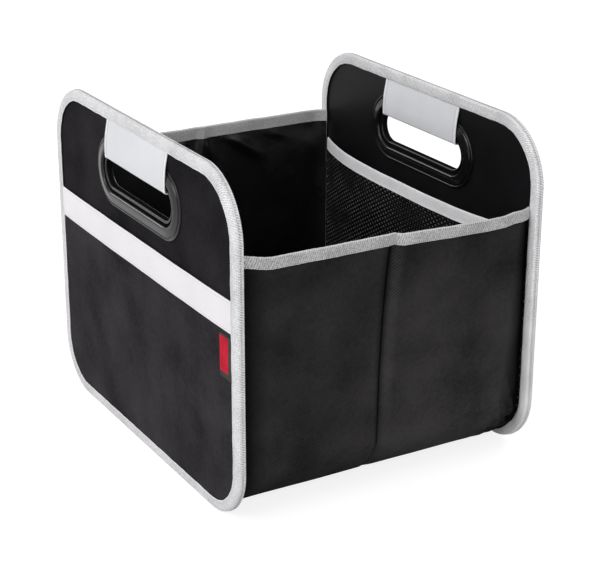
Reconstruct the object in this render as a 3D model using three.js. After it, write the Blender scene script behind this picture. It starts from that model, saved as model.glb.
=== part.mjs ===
import * as THREE from 'three';

// A folding fabric box with two stiff end panels, a soft wall cloth between them and a two-part floor.
// Millimetres. X runs from the left panel to the right one, Y from front to back, Z up from the ground.

// Whole box
const boxLength = 265;
const panelWidth = 320;
const panelHeight = 269;
const topCornerRadius = 51;
const bottomCornerRadius = 44;
const cornerSteps = 8;

// Layers of a panel, with the gap that is left between any two pieces
const layerGap = 0.3;
const clothThickness = 0.5;
const boardThickness = 1.5;
const bindingThickness = 0.8;
const bindingLip = 9;
const bindingEdge = 0.5;

// Wall cloth between the panels
const wallHeight = 210;
const wallInset = 4;
const wallThickness = 0.8;
const wallBindingHeight = 10.5;
const creaseDepth = 1.5;
const creaseHalfWidth = 7;

// Handle slot, its plastic ring and the tape round the bar above it
const slotLength = 117;
const slotHeight = 26;
const slotDrop = 50;
const slotSteps = 8;
const ringFlangeWidth = 15.5;
const ringLipWidth = 1.5;
const ringLipThickness = 1;
const ringSleeveWall = 1.6;
const ringProud = 3.2;
const ringRounding = 0.8;
const ringGrooveWidth = 2.2;
const tapeSideGap = 5;
const tapeBend = 1;
const tapeLead = 1;

// Flat outer pocket, its band and the side tag
const pocketBelowRing = 13;
const bandWidth = 25;
const tagWidth = 17;
const tagHeight = 33.5;
const tagDrop = 3.5;

// Mesh pocket on the inner face
const meshBelowRing = 6;
const meshBandHeight = 11;
const meshBulge = 18;
const meshBulgePower = 4;
const meshBulgeStart = 20;
const meshTuck = 1.5;
const netColumns = 12;
const netRows = 6;
const netStrand = 7.5;

// Floor
const floorThickness = 5;
const floorSideClearance = 1;
const floorCornerRadius = 4;
const floorEdgeBevel = 0.7;
const tabLength = 50;
const tabWidth = 25;
const tabThickness = 1;
const tabSetback = 2;

// Depths into a panel from the outer face of its binding
const layerInset = bindingThickness + layerGap;
const skinDepth = layerInset;
const coverDepth = skinDepth + clothThickness + layerGap;
const boardDepth = coverDepth + clothThickness + layerGap;
const liningDepth = boardDepth + boardThickness + layerGap;
const innerSkinDepth = liningDepth + clothThickness + layerGap;
const panelThickness = innerSkinDepth + clothThickness + layerGap + bindingThickness;

// Places worked out from the sizes above
const innerFaceX = boxLength / 2 - panelThickness;
const slotZ = panelHeight - slotDrop;
const slotRadius = slotHeight / 2;
const slotStraightHalf = slotLength / 2 - slotRadius;
const tapeWidth = slotLength - 2 * tapeSideGap;
const ringFootZ = slotZ - slotRadius - ringFlangeWidth;
const pocketMouthHeight = ringFootZ - pocketBelowRing;
const meshMouthHeight = ringFootZ - meshBelowRing;
const openEdgeY = panelWidth / 2 - bindingLip - layerGap;
const floorBottomZ = wallInset + wallThickness + layerGap;
const floorTopZ = floorBottomZ + floorThickness;

const finishes = {
  wovenCloth: { color: 0x2a292c, roughness: 0.85, metalness: 0 },
  liningCloth: { color: 0x161618, roughness: 0.55, metalness: 0 },
  wallCloth: { color: 0x1c1c1e, roughness: 0.6, metalness: 0 },
  bindingTape: { color: 0xc9cacd, roughness: 0.8, metalness: 0 },
  wallBindingTape: { color: 0xa9aaae, roughness: 0.8, metalness: 0 },
  gripTape: { color: 0xd8dbde, roughness: 0.6, metalness: 0 },
  bandTape: { color: 0xebebee, roughness: 0.6, metalness: 0 },
  tagCloth: { color: 0xc81e32, roughness: 0.8, metalness: 0 },
  meshCloth: { color: 0x121213, roughness: 0.9, metalness: 0 },
  ringPlastic: { color: 0x0e0e10, roughness: 0.25, metalness: 0 },
  stiffBoard: { color: 0x6d6a66, roughness: 0.9, metalness: 0 },
  floorCloth: { color: 0x18181a, roughness: 0.7, metalness: 0 },
};

function namedMesh(name, geometry, finish) {
  const mesh = new THREE.Mesh(geometry, new THREE.MeshStandardMaterial(finishes[finish]));
  mesh.name = name;
  return mesh;
}

// A closed body from points and triangles, turned so that its faces point out
function closedBody(points, triangles) {
  let volume = 0;
  for (const [a, b, c] of triangles) {
    volume += points[a].dot(new THREE.Vector3().crossVectors(points[b], points[c]));
  }
  const outward = volume > 0 ? triangles : triangles.map(([a, b, c]) => [a, c, b]);
  const geometry = new THREE.BufferGeometry();
  geometry.setFromPoints(points);
  geometry.setIndex(outward.flat());
  geometry.computeVertexNormals();
  return geometry;
}

function signedArea([a, b, c]) {
  return (b.x - a.x) * (c.y - a.y) - (b.y - a.y) * (c.x - a.x);
}

// Triangles that fill a section, all turned anticlockwise
function fillSection(section) {
  const faces = THREE.ShapeUtils.triangulateShape(section, []);
  return faces.map((face) => {
    const corners = face.map((index) => section[index]);
    return signedArea(corners) > 0 ? face : [face[0], face[2], face[1]];
  });
}

// Carries a section from station to station. place(point, station) gives the place in space of a point
// of the section; a looped sweep has no ends.
function sweep(outline, stations, place, looped) {
  const section = THREE.ShapeUtils.area(outline) > 0 ? outline : outline.slice().reverse();
  const ring = section.length;
  const points = stations.flatMap((station) => section.map((point) => place(point, station)));
  const triangles = [];
  const spans = looped ? stations.length : stations.length - 1;
  for (let i = 0; i < spans; i += 1) {
    const here = i * ring;
    const there = ((i + 1) % stations.length) * ring;
    for (let j = 0; j < ring; j += 1) {
      const k = (j + 1) % ring;
      triangles.push([here + j, here + k, there + k], [here + j, there + k, there + j]);
    }
  }
  if (!looped) {
    const last = (stations.length - 1) * ring;
    for (const [a, b, c] of fillSection(section)) {
      triangles.push([a, c, b], [last + a, last + b, last + c]);
    }
  }
  return closedBody(points, triangles);
}

function sectionOf(pairs) {
  return pairs.map(([a, b]) => new THREE.Vector2(a, b));
}

// Stations along a quarter or half turn: a point and the direction that points away from the centre
function arcStations(centreY, centreZ, radius, start, end, steps) {
  return Array.from({ length: steps + 1 }, (unused, i) => {
    const angle = start + ((end - start) * i) / steps;
    const away = new THREE.Vector2(Math.cos(angle), Math.sin(angle));
    return { point: new THREE.Vector2(centreY, centreZ).addScaledVector(away, radius), away };
  });
}

// The panel's outline, from the lower right corner round to the lower left, in the plane of the panel
function outlineStations() {
  const lowY = panelWidth / 2 - bottomCornerRadius;
  const highY = panelWidth / 2 - topCornerRadius;
  const highZ = panelHeight - topCornerRadius;
  const quarter = Math.PI / 2;
  return [
    ...arcStations(lowY, bottomCornerRadius, bottomCornerRadius, -quarter, 0, cornerSteps),
    ...arcStations(highY, highZ, topCornerRadius, 0, quarter, cornerSteps),
    ...arcStations(-highY, highZ, topCornerRadius, quarter, 2 * quarter, cornerSteps),
    ...arcStations(-lowY, bottomCornerRadius, bottomCornerRadius, 2 * quarter, 3 * quarter, cornerSteps),
  ];
}

function slotStations() {
  const half = Math.PI / 2;
  return [
    ...arcStations(slotStraightHalf, slotZ, slotRadius, -half, half, slotSteps),
    ...arcStations(-slotStraightHalf, slotZ, slotRadius, half, 3 * half, slotSteps),
  ];
}

function offsetPoints(stations, outward) {
  return stations.map(({ point, away }) => point.clone().addScaledVector(away, outward));
}

// A flat layer of a panel: an outline in Y and Z, as thick as given, starting at a depth into the panel
function panelLayer(outline, depth, thickness, hole) {
  const shape = new THREE.Shape(outline);
  if (hole) {
    shape.holes.push(new THREE.Path(hole));
  }
  const geometry = new THREE.ExtrudeGeometry(shape, { depth: thickness, bevelEnabled: false });
  const alongX = new THREE.Vector3(1, 0, 0);
  const alongY = new THREE.Vector3(0, 1, 0);
  const alongZ = new THREE.Vector3(0, 0, 1);
  geometry.applyMatrix4(new THREE.Matrix4().makeBasis(alongY, alongZ, alongX));
  geometry.translate(depth, 0, 0);
  return geometry;
}

function slottedLayer(depth, thickness) {
  const outline = offsetPoints(outlineStations(), -layerInset);
  const hole = offsetPoints(slotStations(), ringSleeveWall + layerGap);
  return panelLayer(outline, depth, thickness, hole);
}

// Tape folded round the outline: a U section whose two lips lie on the panel's faces
function panelBinding() {
  const wall = bindingThickness;
  const edge = bindingEdge;
  const section = sectionOf([
    [-edge, 0], [0, edge], [0, panelThickness - edge], [-edge, panelThickness],
    [-bindingLip, panelThickness], [-bindingLip, panelThickness - wall],
    [-wall, panelThickness - wall], [-wall, wall], [-bindingLip, wall], [-bindingLip, 0],
  ]);
  const place = (at, { point, away }) => {
    const onOutline = point.clone().addScaledVector(away, at.x);
    return new THREE.Vector3(at.y, onOutline.x, onOutline.y);
  };
  return sweep(section, outlineStations(), place, true);
}

// Half of the grip ring: a sleeve through the panel and a flange with a thin outer lip, a raised body,
// a groove and a rounded inner edge. The two halves meet in the middle of the panel's thickness.
function gripRingHalf(inner) {
  const face = coverDepth - ringProud;
  const seat = coverDepth - layerGap;
  const groove = face + ringRounding;
  const innerEdge = 3 * ringRounding;
  const grooveEnd = innerEdge + ringGrooveWidth;
  const bodyEnd = ringFlangeWidth - ringLipWidth;
  const sleeveEnd = panelThickness / 2 - layerGap / 2;
  const section = sectionOf([
    [0, sleeveEnd], [0, face + ringRounding], [ringRounding, face],
    [innerEdge, face], [innerEdge + ringRounding, groove], [grooveEnd, groove], [grooveEnd + ringRounding, face],
    [bodyEnd - ringRounding, face], [bodyEnd, face + ringRounding], [bodyEnd, seat - ringLipThickness],
    [ringFlangeWidth, seat - ringLipThickness], [ringFlangeWidth, seat],
    [ringSleeveWall, seat], [ringSleeveWall, sleeveEnd],
  ]);
  const place = (at, { point, away }) => {
    const onSlot = point.clone().addScaledVector(away, at.x);
    return new THREE.Vector3(inner ? panelThickness - at.y : at.y, onSlot.x, onSlot.y);
  };
  return sweep(section, slotStations(), place, true);
}

// Both sides of a strip that follows a line of points, with mitred bends
function stripOutline(line, thickness) {
  const sideOf = (a, b) => new THREE.Vector2(a.y - b.y, b.x - a.x).normalize();
  const left = [];
  const right = [];
  line.forEach((point, i) => {
    const before = i > 0 ? sideOf(line[i - 1], point) : sideOf(point, line[i + 1]);
    const after = i < line.length - 1 ? sideOf(point, line[i + 1]) : before;
    const mitre = before.clone().add(after).normalize();
    const reach = thickness / 2 / mitre.dot(before);
    left.push(point.clone().addScaledVector(mitre, reach));
    right.unshift(point.clone().addScaledVector(mitre, -reach));
  });
  return [...right, ...left];
}

// Tape from under the top binding, over the ring, through the slot and back up the inner face
function gripTape() {
  const half = clothThickness / 2;
  const ringTop = slotZ + slotRadius + ringFlangeWidth;
  const pastStraight = Math.max(0, tapeWidth / 2 - slotStraightHalf);
  const slotTopAtTapeEdge = slotZ + Math.sqrt(slotRadius ** 2 - pastStraight ** 2);
  const tucked = skinDepth + half;
  const proud = coverDepth - ringProud - layerGap - half;
  const bottom = slotTopAtTapeEdge - layerGap - half;
  const outerLeaf = sectionOf([
    [tucked, panelHeight - layerInset],
    [tucked, panelHeight - bindingLip - tapeLead],
    [proud, ringTop + tapeLead],
    [proud, bottom + tapeBend],
    [proud + tapeBend, bottom],
  ]);
  const innerLeaf = outerLeaf.map(({ x, y }) => new THREE.Vector2(panelThickness - x, y)).reverse();
  const section = stripOutline([...outerLeaf, ...innerLeaf], clothThickness);
  const place = (at, y) => new THREE.Vector3(at.x, y, at.y);
  return sweep(section, [-tapeWidth / 2, tapeWidth / 2], place, false);
}

// Flat pocket over the lower part of the outer face, open along its top edge
function outerPocket() {
  const lowerCorners = outlineStations().filter(({ away }) => away.y < 1e-6);
  const rightCorner = lowerCorners.filter(({ point }) => point.x > 0);
  const leftCorner = lowerCorners.filter(({ point }) => point.x < 0);
  const sideY = panelWidth / 2 - layerInset;
  const isBelowMouth = ({ point }) => point.y < pocketMouthHeight;
  const outline = [
    ...offsetPoints(rightCorner.filter(isBelowMouth), -layerInset),
    new THREE.Vector2(sideY, pocketMouthHeight),
    new THREE.Vector2(-sideY, pocketMouthHeight),
    ...offsetPoints(leftCorner.filter(isBelowMouth), -layerInset),
  ];
  return panelLayer(outline, skinDepth, clothThickness);
}

function rectangle(lowY, highY, lowZ, highZ) {
  return sectionOf([[lowY, lowZ], [highY, lowZ], [highY, highZ], [lowY, highZ]]);
}

const trimDepth = skinDepth - layerGap - clothThickness;
const bandBottomZ = pocketMouthHeight - bandWidth;

function pocketBand() {
  const outline = rectangle(-openEdgeY, openEdgeY, bandBottomZ, pocketMouthHeight);
  return panelLayer(outline, trimDepth, clothThickness);
}

function sideTag() {
  const topZ = bandBottomZ - tagDrop;
  const outline = rectangle(-openEdgeY, tagWidth - openEdgeY, topZ - tagHeight, topZ);
  return panelLayer(outline, trimDepth, clothThickness);
}

// Half the panel's width at a height, inside the binding
function halfWidthAt(z) {
  const radius = bottomCornerRadius - layerInset;
  const below = Math.min(radius, Math.max(0, bottomCornerRadius - z));
  return panelWidth / 2 - bottomCornerRadius + Math.sqrt(radius ** 2 - below ** 2);
}

const meshWidthHalf = panelWidth / 2 - layerInset;
const meshFreeHalf = openEdgeY - meshTuck;
const meshBandBottom = meshMouthHeight - meshBandHeight;
const meshTopEdge = meshMouthHeight - clothThickness - layerGap;

// How far the mesh stands off the lining: nothing at its foot, and most at the middle of its mouth
function meshStandOff(y, z) {
  if (Math.abs(y) > meshFreeHalf + 1e-6) {
    return 0;
  }
  const rise = Math.min(1, Math.max(0, (z - meshBulgeStart) / (meshBandBottom - meshBulgeStart)));
  const room = clothThickness + layerGap;
  const inward = Math.max(0, 1 - Math.abs(y) / meshFreeHalf);
  return rise * (room + (meshBulge - room) * (1 - (1 - inward) ** meshBulgePower));
}

// Lines between the strands and gaps of the net: count gaps between low and high
function netLines(low, high, count) {
  const pitch = (high - low) / count;
  const lines = [];
  for (let i = 0; i < count; i += 1) {
    lines.push(low + i * pitch + netStrand / 2, low + (i + 1) * pitch - netStrand / 2);
  }
  return [low, ...lines, high];
}

// The mesh as a curved sheet: a grid of cells of which every second one each way is a gap
function meshPocket() {
  const lipEdge = panelWidth / 2 - bindingLip;
  const sideColumns = [lipEdge, meshWidthHalf];
  const netColumnLines = netLines(-meshFreeHalf, meshFreeHalf, netColumns);
  const columns = [-meshWidthHalf, -lipEdge, ...netColumnLines, ...sideColumns];
  const footRows = [layerInset, bindingLip + layerGap];
  const rows = [...footRows, ...netLines(meshBulgeStart, meshBandBottom, netRows), meshTopEdge];
  const isGapLine = (line, count) => line % 2 === 1 && line > 0 && line < 2 * count;
  const isGap = (i, j) => isGapLine(i - sideColumns.length, netColumns)
    && isGapLine(j - footRows.length, netRows);
  const points = [];
  for (const skin of [0, clothThickness]) {
    for (const z of rows) {
      for (const y of columns) {
        const depth = innerSkinDepth + meshStandOff(y, z) + skin;
        points.push(new THREE.Vector3(depth, (y / meshWidthHalf) * halfWidthAt(z), z));
      }
    }
  }
  const skinSize = rows.length * columns.length;
  const at = (i, j, skin) => skin * skinSize + j * columns.length + i;
  const isCloth = (i, j) => i >= 0 && j >= 0 && i < columns.length - 1 && j < rows.length - 1 && !isGap(i, j);
  const triangles = [];
  const quad = (a, b, c, d) => triangles.push([a, b, c], [a, c, d]);
  for (let j = 0; j < rows.length - 1; j += 1) {
    for (let i = 0; i < columns.length - 1; i += 1) {
      if (isCloth(i, j)) {
        quad(at(i, j, 1), at(i + 1, j, 1), at(i + 1, j + 1, 1), at(i, j + 1, 1));
        quad(at(i, j, 0), at(i, j + 1, 0), at(i + 1, j + 1, 0), at(i + 1, j, 0));
        if (!isCloth(i, j - 1)) quad(at(i, j, 0), at(i + 1, j, 0), at(i + 1, j, 1), at(i, j, 1));
        if (!isCloth(i, j + 1)) quad(at(i, j + 1, 1), at(i + 1, j + 1, 1), at(i + 1, j + 1, 0), at(i, j + 1, 0));
        if (!isCloth(i - 1, j)) quad(at(i, j, 0), at(i, j, 1), at(i, j + 1, 1), at(i, j + 1, 0));
        if (!isCloth(i + 1, j)) quad(at(i + 1, j, 1), at(i + 1, j, 0), at(i + 1, j + 1, 0), at(i + 1, j + 1, 1));
      }
    }
  }
  const used = [...new Set(triangles.flat())];
  const renumbered = new Map(used.map((old, index) => [old, index]));
  const usedPoints = used.map((old) => points[old]);
  return closedBody(usedPoints, triangles.map((triangle) => triangle.map((old) => renumbered.get(old))));
}

// A U section that hangs over an edge: outer leaf, fold on top, inner leaf. Across is measured from the
// middle of the cloth that it holds.
function foldedEdge(heldThickness, tapeThickness, lowZ, highZ) {
  const inside = heldThickness / 2 + layerGap;
  const outside = inside + tapeThickness;
  return sectionOf([
    [-outside, lowZ], [-inside, lowZ], [-inside, highZ - tapeThickness], [inside, highZ - tapeThickness],
    [inside, lowZ], [outside, lowZ], [outside, highZ], [-outside, highZ],
  ]);
}

// Binding along the mouth of the mesh pocket, following the mesh's own line
function meshBinding() {
  const section = foldedEdge(clothThickness, clothThickness, meshBandBottom, meshMouthHeight);
  const place = (at, y) => {
    const middle = innerSkinDepth + meshStandOff(y, meshMouthHeight) + clothThickness / 2;
    return new THREE.Vector3(middle + at.x, (y / meshWidthHalf) * halfWidthAt(at.y), at.y);
  };
  return sweep(section, netLines(-meshFreeHalf, meshFreeHalf, netColumns), place, false);
}

// One end panel, built as the left one, with its outer face at X = 0 and its inside towards +X
function endPanel(side) {
  const panel = new THREE.Group();
  panel.add(
    namedMesh(`${side}_panel_board`, slottedLayer(boardDepth, boardThickness), 'stiffBoard'),
    namedMesh(`${side}_panel_cover`, slottedLayer(coverDepth, clothThickness), 'wovenCloth'),
    namedMesh(`${side}_panel_lining`, slottedLayer(liningDepth, clothThickness), 'liningCloth'),
    namedMesh(`${side}_panel_binding`, panelBinding(), 'bindingTape'),
    namedMesh(`${side}_grip_ring_outer`, gripRingHalf(false), 'ringPlastic'),
    namedMesh(`${side}_grip_ring_inner`, gripRingHalf(true), 'ringPlastic'),
    namedMesh(`${side}_grip_tape`, gripTape(), 'gripTape'),
    namedMesh(`${side}_outer_pocket`, outerPocket(), 'wovenCloth'),
    namedMesh(`${side}_pocket_band`, pocketBand(), 'bandTape'),
    namedMesh(`${side}_mesh_pocket`, meshPocket(), 'meshCloth'),
    namedMesh(`${side}_mesh_binding`, meshBinding(), 'bindingTape'),
  );
  return panel;
}

// Where the wall cloth and its bindings change direction along X, and how far they are dented there
const wallEndX = innerFaceX - layerGap;
const wallStations = [
  { x: -wallEndX, dent: 0 },
  { x: -creaseHalfWidth, dent: 0 },
  { x: 0, dent: creaseDepth },
  { x: creaseHalfWidth, dent: 0 },
  { x: wallEndX, dent: 0 },
];

// Front wall, rounded lower corners, bottom and back wall in one length of cloth, creased at the middle
function wallCloth() {
  const outerY = panelWidth / 2 - wallInset;
  const radius = bottomCornerRadius - wallInset;
  const topZ = wallHeight - bindingThickness - layerGap;
  const cornerY = outerY - radius;
  const half = Math.PI / 2;
  const line = [
    { point: new THREE.Vector2(-outerY, topZ), away: new THREE.Vector2(-1, 0) },
    ...arcStations(-cornerY, bottomCornerRadius, radius, -2 * half, -half, cornerSteps),
    ...arcStations(cornerY, bottomCornerRadius, radius, -half, 0, cornerSteps),
    { point: new THREE.Vector2(outerY, topZ), away: new THREE.Vector2(1, 0) },
  ];
  const sideways = [...line, ...line.slice().reverse()].map(({ away }) => away.x);
  const section = [...offsetPoints(line, 0), ...offsetPoints(line, -wallThickness).reverse()];
  const indexOf = new Map(section.map((point, index) => [point, index]));
  const place = (at, { x, dent }) => new THREE.Vector3(x, at.x - dent * sideways[indexOf.get(at)], at.y);
  return sweep(section, wallStations, place, false);
}

// Binding over the top edge of the front wall (side -1) or the back wall (side 1)
function wallBinding(side) {
  const section = foldedEdge(wallThickness, bindingThickness, wallHeight - wallBindingHeight, wallHeight);
  const middleY = side * (panelWidth / 2 - wallInset - wallThickness / 2);
  const place = (at, { x, dent }) => new THREE.Vector3(x, middleY - side * dent + at.x, at.y);
  return sweep(section, wallStations, place, false);
}

function roundedRectangle(lowX, highX, lowY, highY, radius) {
  const shape = new THREE.Shape();
  const quarter = Math.PI / 2;
  shape.absarc(highX - radius, lowY + radius, radius, -quarter, 0, false);
  shape.absarc(highX - radius, highY - radius, radius, 0, quarter, false);
  shape.absarc(lowX + radius, highY - radius, radius, quarter, 2 * quarter, false);
  shape.absarc(lowX + radius, lowY + radius, radius, 2 * quarter, 3 * quarter, false);
  return shape;
}

// One half of the floor (side -1 left, 1 right), from the foot of its panel to the middle
function floorBoard(side) {
  const near = layerGap / 2;
  const far = innerFaceX - layerGap;
  const halfY = panelWidth / 2 - bottomCornerRadius - floorSideClearance;
  const bevel = floorEdgeBevel;
  const [lowX, highX] = side < 0 ? [-far, -near] : [near, far];
  const shape = roundedRectangle(
    lowX + bevel, highX - bevel, -halfY + bevel, halfY - bevel, floorCornerRadius - bevel,
  );
  const geometry = new THREE.ExtrudeGeometry(shape, {
    depth: floorThickness - 2 * bevel, bevelThickness: bevel, bevelSize: bevel, bevelSegments: 1, curveSegments: 2,
  });
  geometry.translate(0, 0, floorBottomZ + bevel);
  return geometry;
}

// Tab of tape on the left half of the floor, by which the middle is pulled up
function pullTab() {
  const endX = -tabSetback;
  const roundX = endX - tabLength + tabWidth / 2;
  const shape = new THREE.Shape();
  shape.moveTo(endX, -tabWidth / 2);
  shape.lineTo(endX, tabWidth / 2);
  shape.lineTo(roundX, tabWidth / 2);
  shape.absarc(roundX, 0, tabWidth / 2, Math.PI / 2, (3 * Math.PI) / 2, false);
  const geometry = new THREE.ExtrudeGeometry(shape, { depth: tabThickness, bevelEnabled: false, curveSegments: 6 });
  geometry.translate(0, 0, floorTopZ + layerGap);
  return geometry;
}

const leftPanel = endPanel('left');
leftPanel.position.x = -boxLength / 2;
leftPanel.add(namedMesh('side_tag', sideTag(), 'tagCloth'));

const rightPanel = endPanel('right');
rightPanel.position.x = boxLength / 2;
rightPanel.rotation.z = Math.PI;

const organizer = new THREE.Group();
organizer.add(
  leftPanel,
  rightPanel,
  namedMesh('wall_cloth', wallCloth(), 'wallCloth'),
  namedMesh('front_wall_binding', wallBinding(-1), 'wallBindingTape'),
  namedMesh('back_wall_binding', wallBinding(1), 'wallBindingTape'),
  namedMesh('floor_board_left', floorBoard(-1), 'floorCloth'),
  namedMesh('floor_board_right', floorBoard(1), 'floorCloth'),
  namedMesh('floor_pull_tab', pullTab(), 'gripTape'),
);

export default organizer;
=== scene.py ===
import math

import bpy
import numpy as np
from mathutils import Euler, Matrix, Vector


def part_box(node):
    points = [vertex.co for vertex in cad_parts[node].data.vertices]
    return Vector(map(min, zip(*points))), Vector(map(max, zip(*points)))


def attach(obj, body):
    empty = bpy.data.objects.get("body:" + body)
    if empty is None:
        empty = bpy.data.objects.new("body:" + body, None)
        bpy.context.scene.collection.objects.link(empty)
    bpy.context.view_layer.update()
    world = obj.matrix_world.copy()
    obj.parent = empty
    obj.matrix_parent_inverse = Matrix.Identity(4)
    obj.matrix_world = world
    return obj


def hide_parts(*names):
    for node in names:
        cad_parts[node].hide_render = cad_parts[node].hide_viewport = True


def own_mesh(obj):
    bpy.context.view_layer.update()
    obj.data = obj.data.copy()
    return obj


# A folding fabric box: two stiff end panels, a soft wall cloth between them and a two-part floor.
# Shapes are worked out in millimetres and go into the meshes in metres.

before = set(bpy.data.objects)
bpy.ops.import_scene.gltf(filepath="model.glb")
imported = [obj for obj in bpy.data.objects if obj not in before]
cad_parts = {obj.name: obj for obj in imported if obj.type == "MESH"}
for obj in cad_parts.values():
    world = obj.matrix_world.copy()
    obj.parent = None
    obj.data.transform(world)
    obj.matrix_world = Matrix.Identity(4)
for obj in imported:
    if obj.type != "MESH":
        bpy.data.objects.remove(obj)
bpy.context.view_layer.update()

MM = 0.001


def box_mm(node):
    """Lowest and highest corner of a node of the frame, in millimetres."""
    return [np.array(corner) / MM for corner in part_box(node)]


# Sizes that the frame gives
binding_low, binding_high = box_mm("left_panel_binding")
ring_low, ring_high = box_mm("left_grip_ring_outer")
band_low, band_high = box_mm("left_pocket_band")
tag_low, tag_high = box_mm("side_tag")
tape_low, tape_high = box_mm("left_grip_tape")
mesh_band_low, mesh_band_high = box_mm("left_mesh_binding")
wall_low, wall_high = box_mm("wall_cloth")
wall_band_low, wall_band_high = box_mm("back_wall_binding")
floor_low, floor_high = box_mm("floor_board_right")
tab_low, tab_high = box_mm("floor_pull_tab")

HALF_LENGTH = -binding_low[0]
HALF_WIDTH = binding_high[1]
PANEL_HEIGHT = binding_high[2]
PANEL_THICKNESS = binding_high[0] - binding_low[0]

# Panel outline and the layers of a panel, as depths in from its outer face
TOP_RADIUS = 51
BOTTOM_RADIUS = 44
CLOTH = 0.5
GAP = 0.3
TAPE_WALL = 0.8
LIP = 9
LAYER_INSET = TAPE_WALL + GAP
SKIN_DEPTH = LAYER_INSET
BAND_DEPTH = SKIN_DEPTH - GAP - CLOTH
COVER_DEPTH = SKIN_DEPTH + CLOTH + GAP
LINING_DEPTH = PANEL_THICKNESS - COVER_DEPTH - CLOTH
INNER_SKIN_DEPTH = PANEL_THICKNESS - SKIN_DEPTH - CLOTH
OPEN_EDGE_Y = HALF_WIDTH - LIP - GAP

# Handle slot and grip ring
FLANGE = 15.5
RING_SEAT = COVER_DEPTH - GAP
RING_FACE = COVER_DEPTH - 3.2
RING_SLEEVE = 1.6
SLOT_Z = (ring_low[2] + ring_high[2]) / 2
SLOT_RADIUS = (ring_high[2] - ring_low[2]) / 2 - FLANGE
SLOT_STRAIGHT = ring_high[1] - FLANGE - SLOT_RADIUS
HOLE_RADIUS = SLOT_RADIUS + RING_SLEEVE + GAP

# Wall cloth
WALL_THICKNESS = 0.8
WALL_OUTER_Y = HALF_WIDTH - 4
WALL_RADIUS = BOTTOM_RADIUS - 4
WALL_CORNER_Y = WALL_OUTER_Y - WALL_RADIUS


def put_in_scene(name, data):
    """A new object for a mesh, a lamp or a camera."""
    made = bpy.data.objects.new(name, data)
    bpy.context.scene.collection.objects.link(made)
    return made


# Meshes

def signed_volume(points, faces):
    """Six times the volume inside a closed skin of quads: the sum of the triple products of the two
    triangles of each quad, measured from the middle of the points."""
    corner = (points - points.mean(axis=0))[faces]
    total = 0
    for a, b, c in ((0, 1, 2), (0, 2, 3)):
        total += np.einsum("ij,ij->", corner[:, a], np.cross(corner[:, b], corner[:, c]))
    return total


def skin_of(points, faces, pattern, finish=0):
    """A closed skin of quads, turned so that its faces point out. The pattern holds a place in the
    weave for each corner of each face, and finish is the number of its material."""
    points = np.asarray(points, float).reshape(-1, 3)
    finish = np.broadcast_to(finish, len(faces)).copy()
    if signed_volume(points, faces) < 0:
        faces = faces[:, ::-1]
        pattern = pattern[:, ::-1]
    return {"points": points, "faces": faces, "pattern": pattern, "finish": finish}


def shell(outer, inner, pattern, closed=False, inner_finish=0):
    """A thin closed body between two grids of points, its outer and inner skins, with its rims filled.
    Rows run along the piece and columns across it, and closed joins the last row to the first.
    The pattern grid has one more row than the points when the rows are closed."""
    rows, columns = outer.shape[:2]
    count = rows * columns
    number = np.arange(count).reshape(rows, columns)
    if closed:
        number = np.vstack([number, number[:1]])
    row, column = np.meshgrid(np.arange(number.shape[0] - 1), np.arange(columns - 1), indexing="ij")
    row = row.ravel()
    column = column.ravel()
    face_row = np.stack([row, row, row + 1, row + 1], axis=1)
    face_column = np.stack([column, column + 1, column + 1, column], axis=1)
    faces = [number[face_row, face_column], number[face_row, face_column][:, ::-1] + count]
    patterns = [pattern[face_row, face_column], pattern[face_row, face_column][:, ::-1]]
    finishes = [np.zeros(len(row), int), np.full(len(row), inner_finish)]

    def fill_rim(from_row, from_column, to_row, to_column):
        start = number[from_row, from_column]
        end = number[to_row, to_column]
        start_pattern = pattern[from_row, from_column]
        end_pattern = pattern[to_row, to_column]
        faces.append(np.stack([start, end, end + count, start + count], axis=1))
        patterns.append(np.stack([start_pattern, end_pattern, end_pattern, start_pattern], axis=1))
        finishes.append(np.zeros(len(start), int))

    along = np.arange(number.shape[0] - 1)
    last = columns - 1
    fill_rim(along, 0 * along, along + 1, 0 * along)
    fill_rim(along + 1, 0 * along + last, along, 0 * along + last)
    if not closed:
        across = np.arange(columns - 1)
        fill_rim(0 * across, across + 1, 0 * across, across)
        fill_rim(0 * across + rows - 1, across, 0 * across + rows - 1, across + 1)
    points = np.concatenate([outer.reshape(-1, 3), inner.reshape(-1, 3)])
    return skin_of(points, np.concatenate(faces), np.concatenate(patterns), np.concatenate(finishes))


def add_piece(name, skins, finishes, body, slot, nodes=(), sharp_angle=38):
    """Joins skins into one mesh object at the origin, rides it on its body and hides the frame's nodes it
    replaces.
    """
    counts = [len(skin["points"]) for skin in skins]
    starts = np.cumsum([0] + counts[:-1])
    points = np.concatenate([skin["points"] for skin in skins]) * MM
    faces = np.concatenate([skin["faces"] + start for skin, start in zip(skins, starts)])
    pattern = np.concatenate([skin["pattern"] for skin in skins]) * MM
    mesh = bpy.data.meshes.new(name)
    mesh.from_pydata(points.tolist(), [], faces.tolist())
    weave_map = mesh.uv_layers.new(name="pattern")
    weave_map.data.foreach_set("uv", pattern.astype(np.float32).ravel())
    for finish in finishes:
        mesh.materials.append(finish)
    mesh.polygons.foreach_set("material_index", np.concatenate([skin["finish"] for skin in skins]))
    mesh.polygons.foreach_set("use_smooth", np.ones(len(faces), bool))
    mesh.set_sharp_from_angle(angle=math.radians(sharp_angle))
    mesh.update()
    piece = put_in_scene(name, mesh)
    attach(piece, body)
    if nodes:
        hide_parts(*nodes)
    return piece


# Lines and places

def smooth_step(value):
    """0 below 0, 1 above 1, and a soft S between."""
    value = np.clip(value, 0, 1)
    return value * value * (3 - 2 * value)


def ripple(along, wavelength, seed):
    """A soft uneven wave between about -1 and 1: three sines of unlike lengths and starts."""
    turn = 2 * np.pi * along / wavelength
    second = 0.6 * np.sin(1.73 * turn + 2.1 * seed)
    third = 0.4 * np.sin(2.9 * turn + 3.7 * seed)
    return (np.sin(turn + seed) + second + third) / 2


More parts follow.
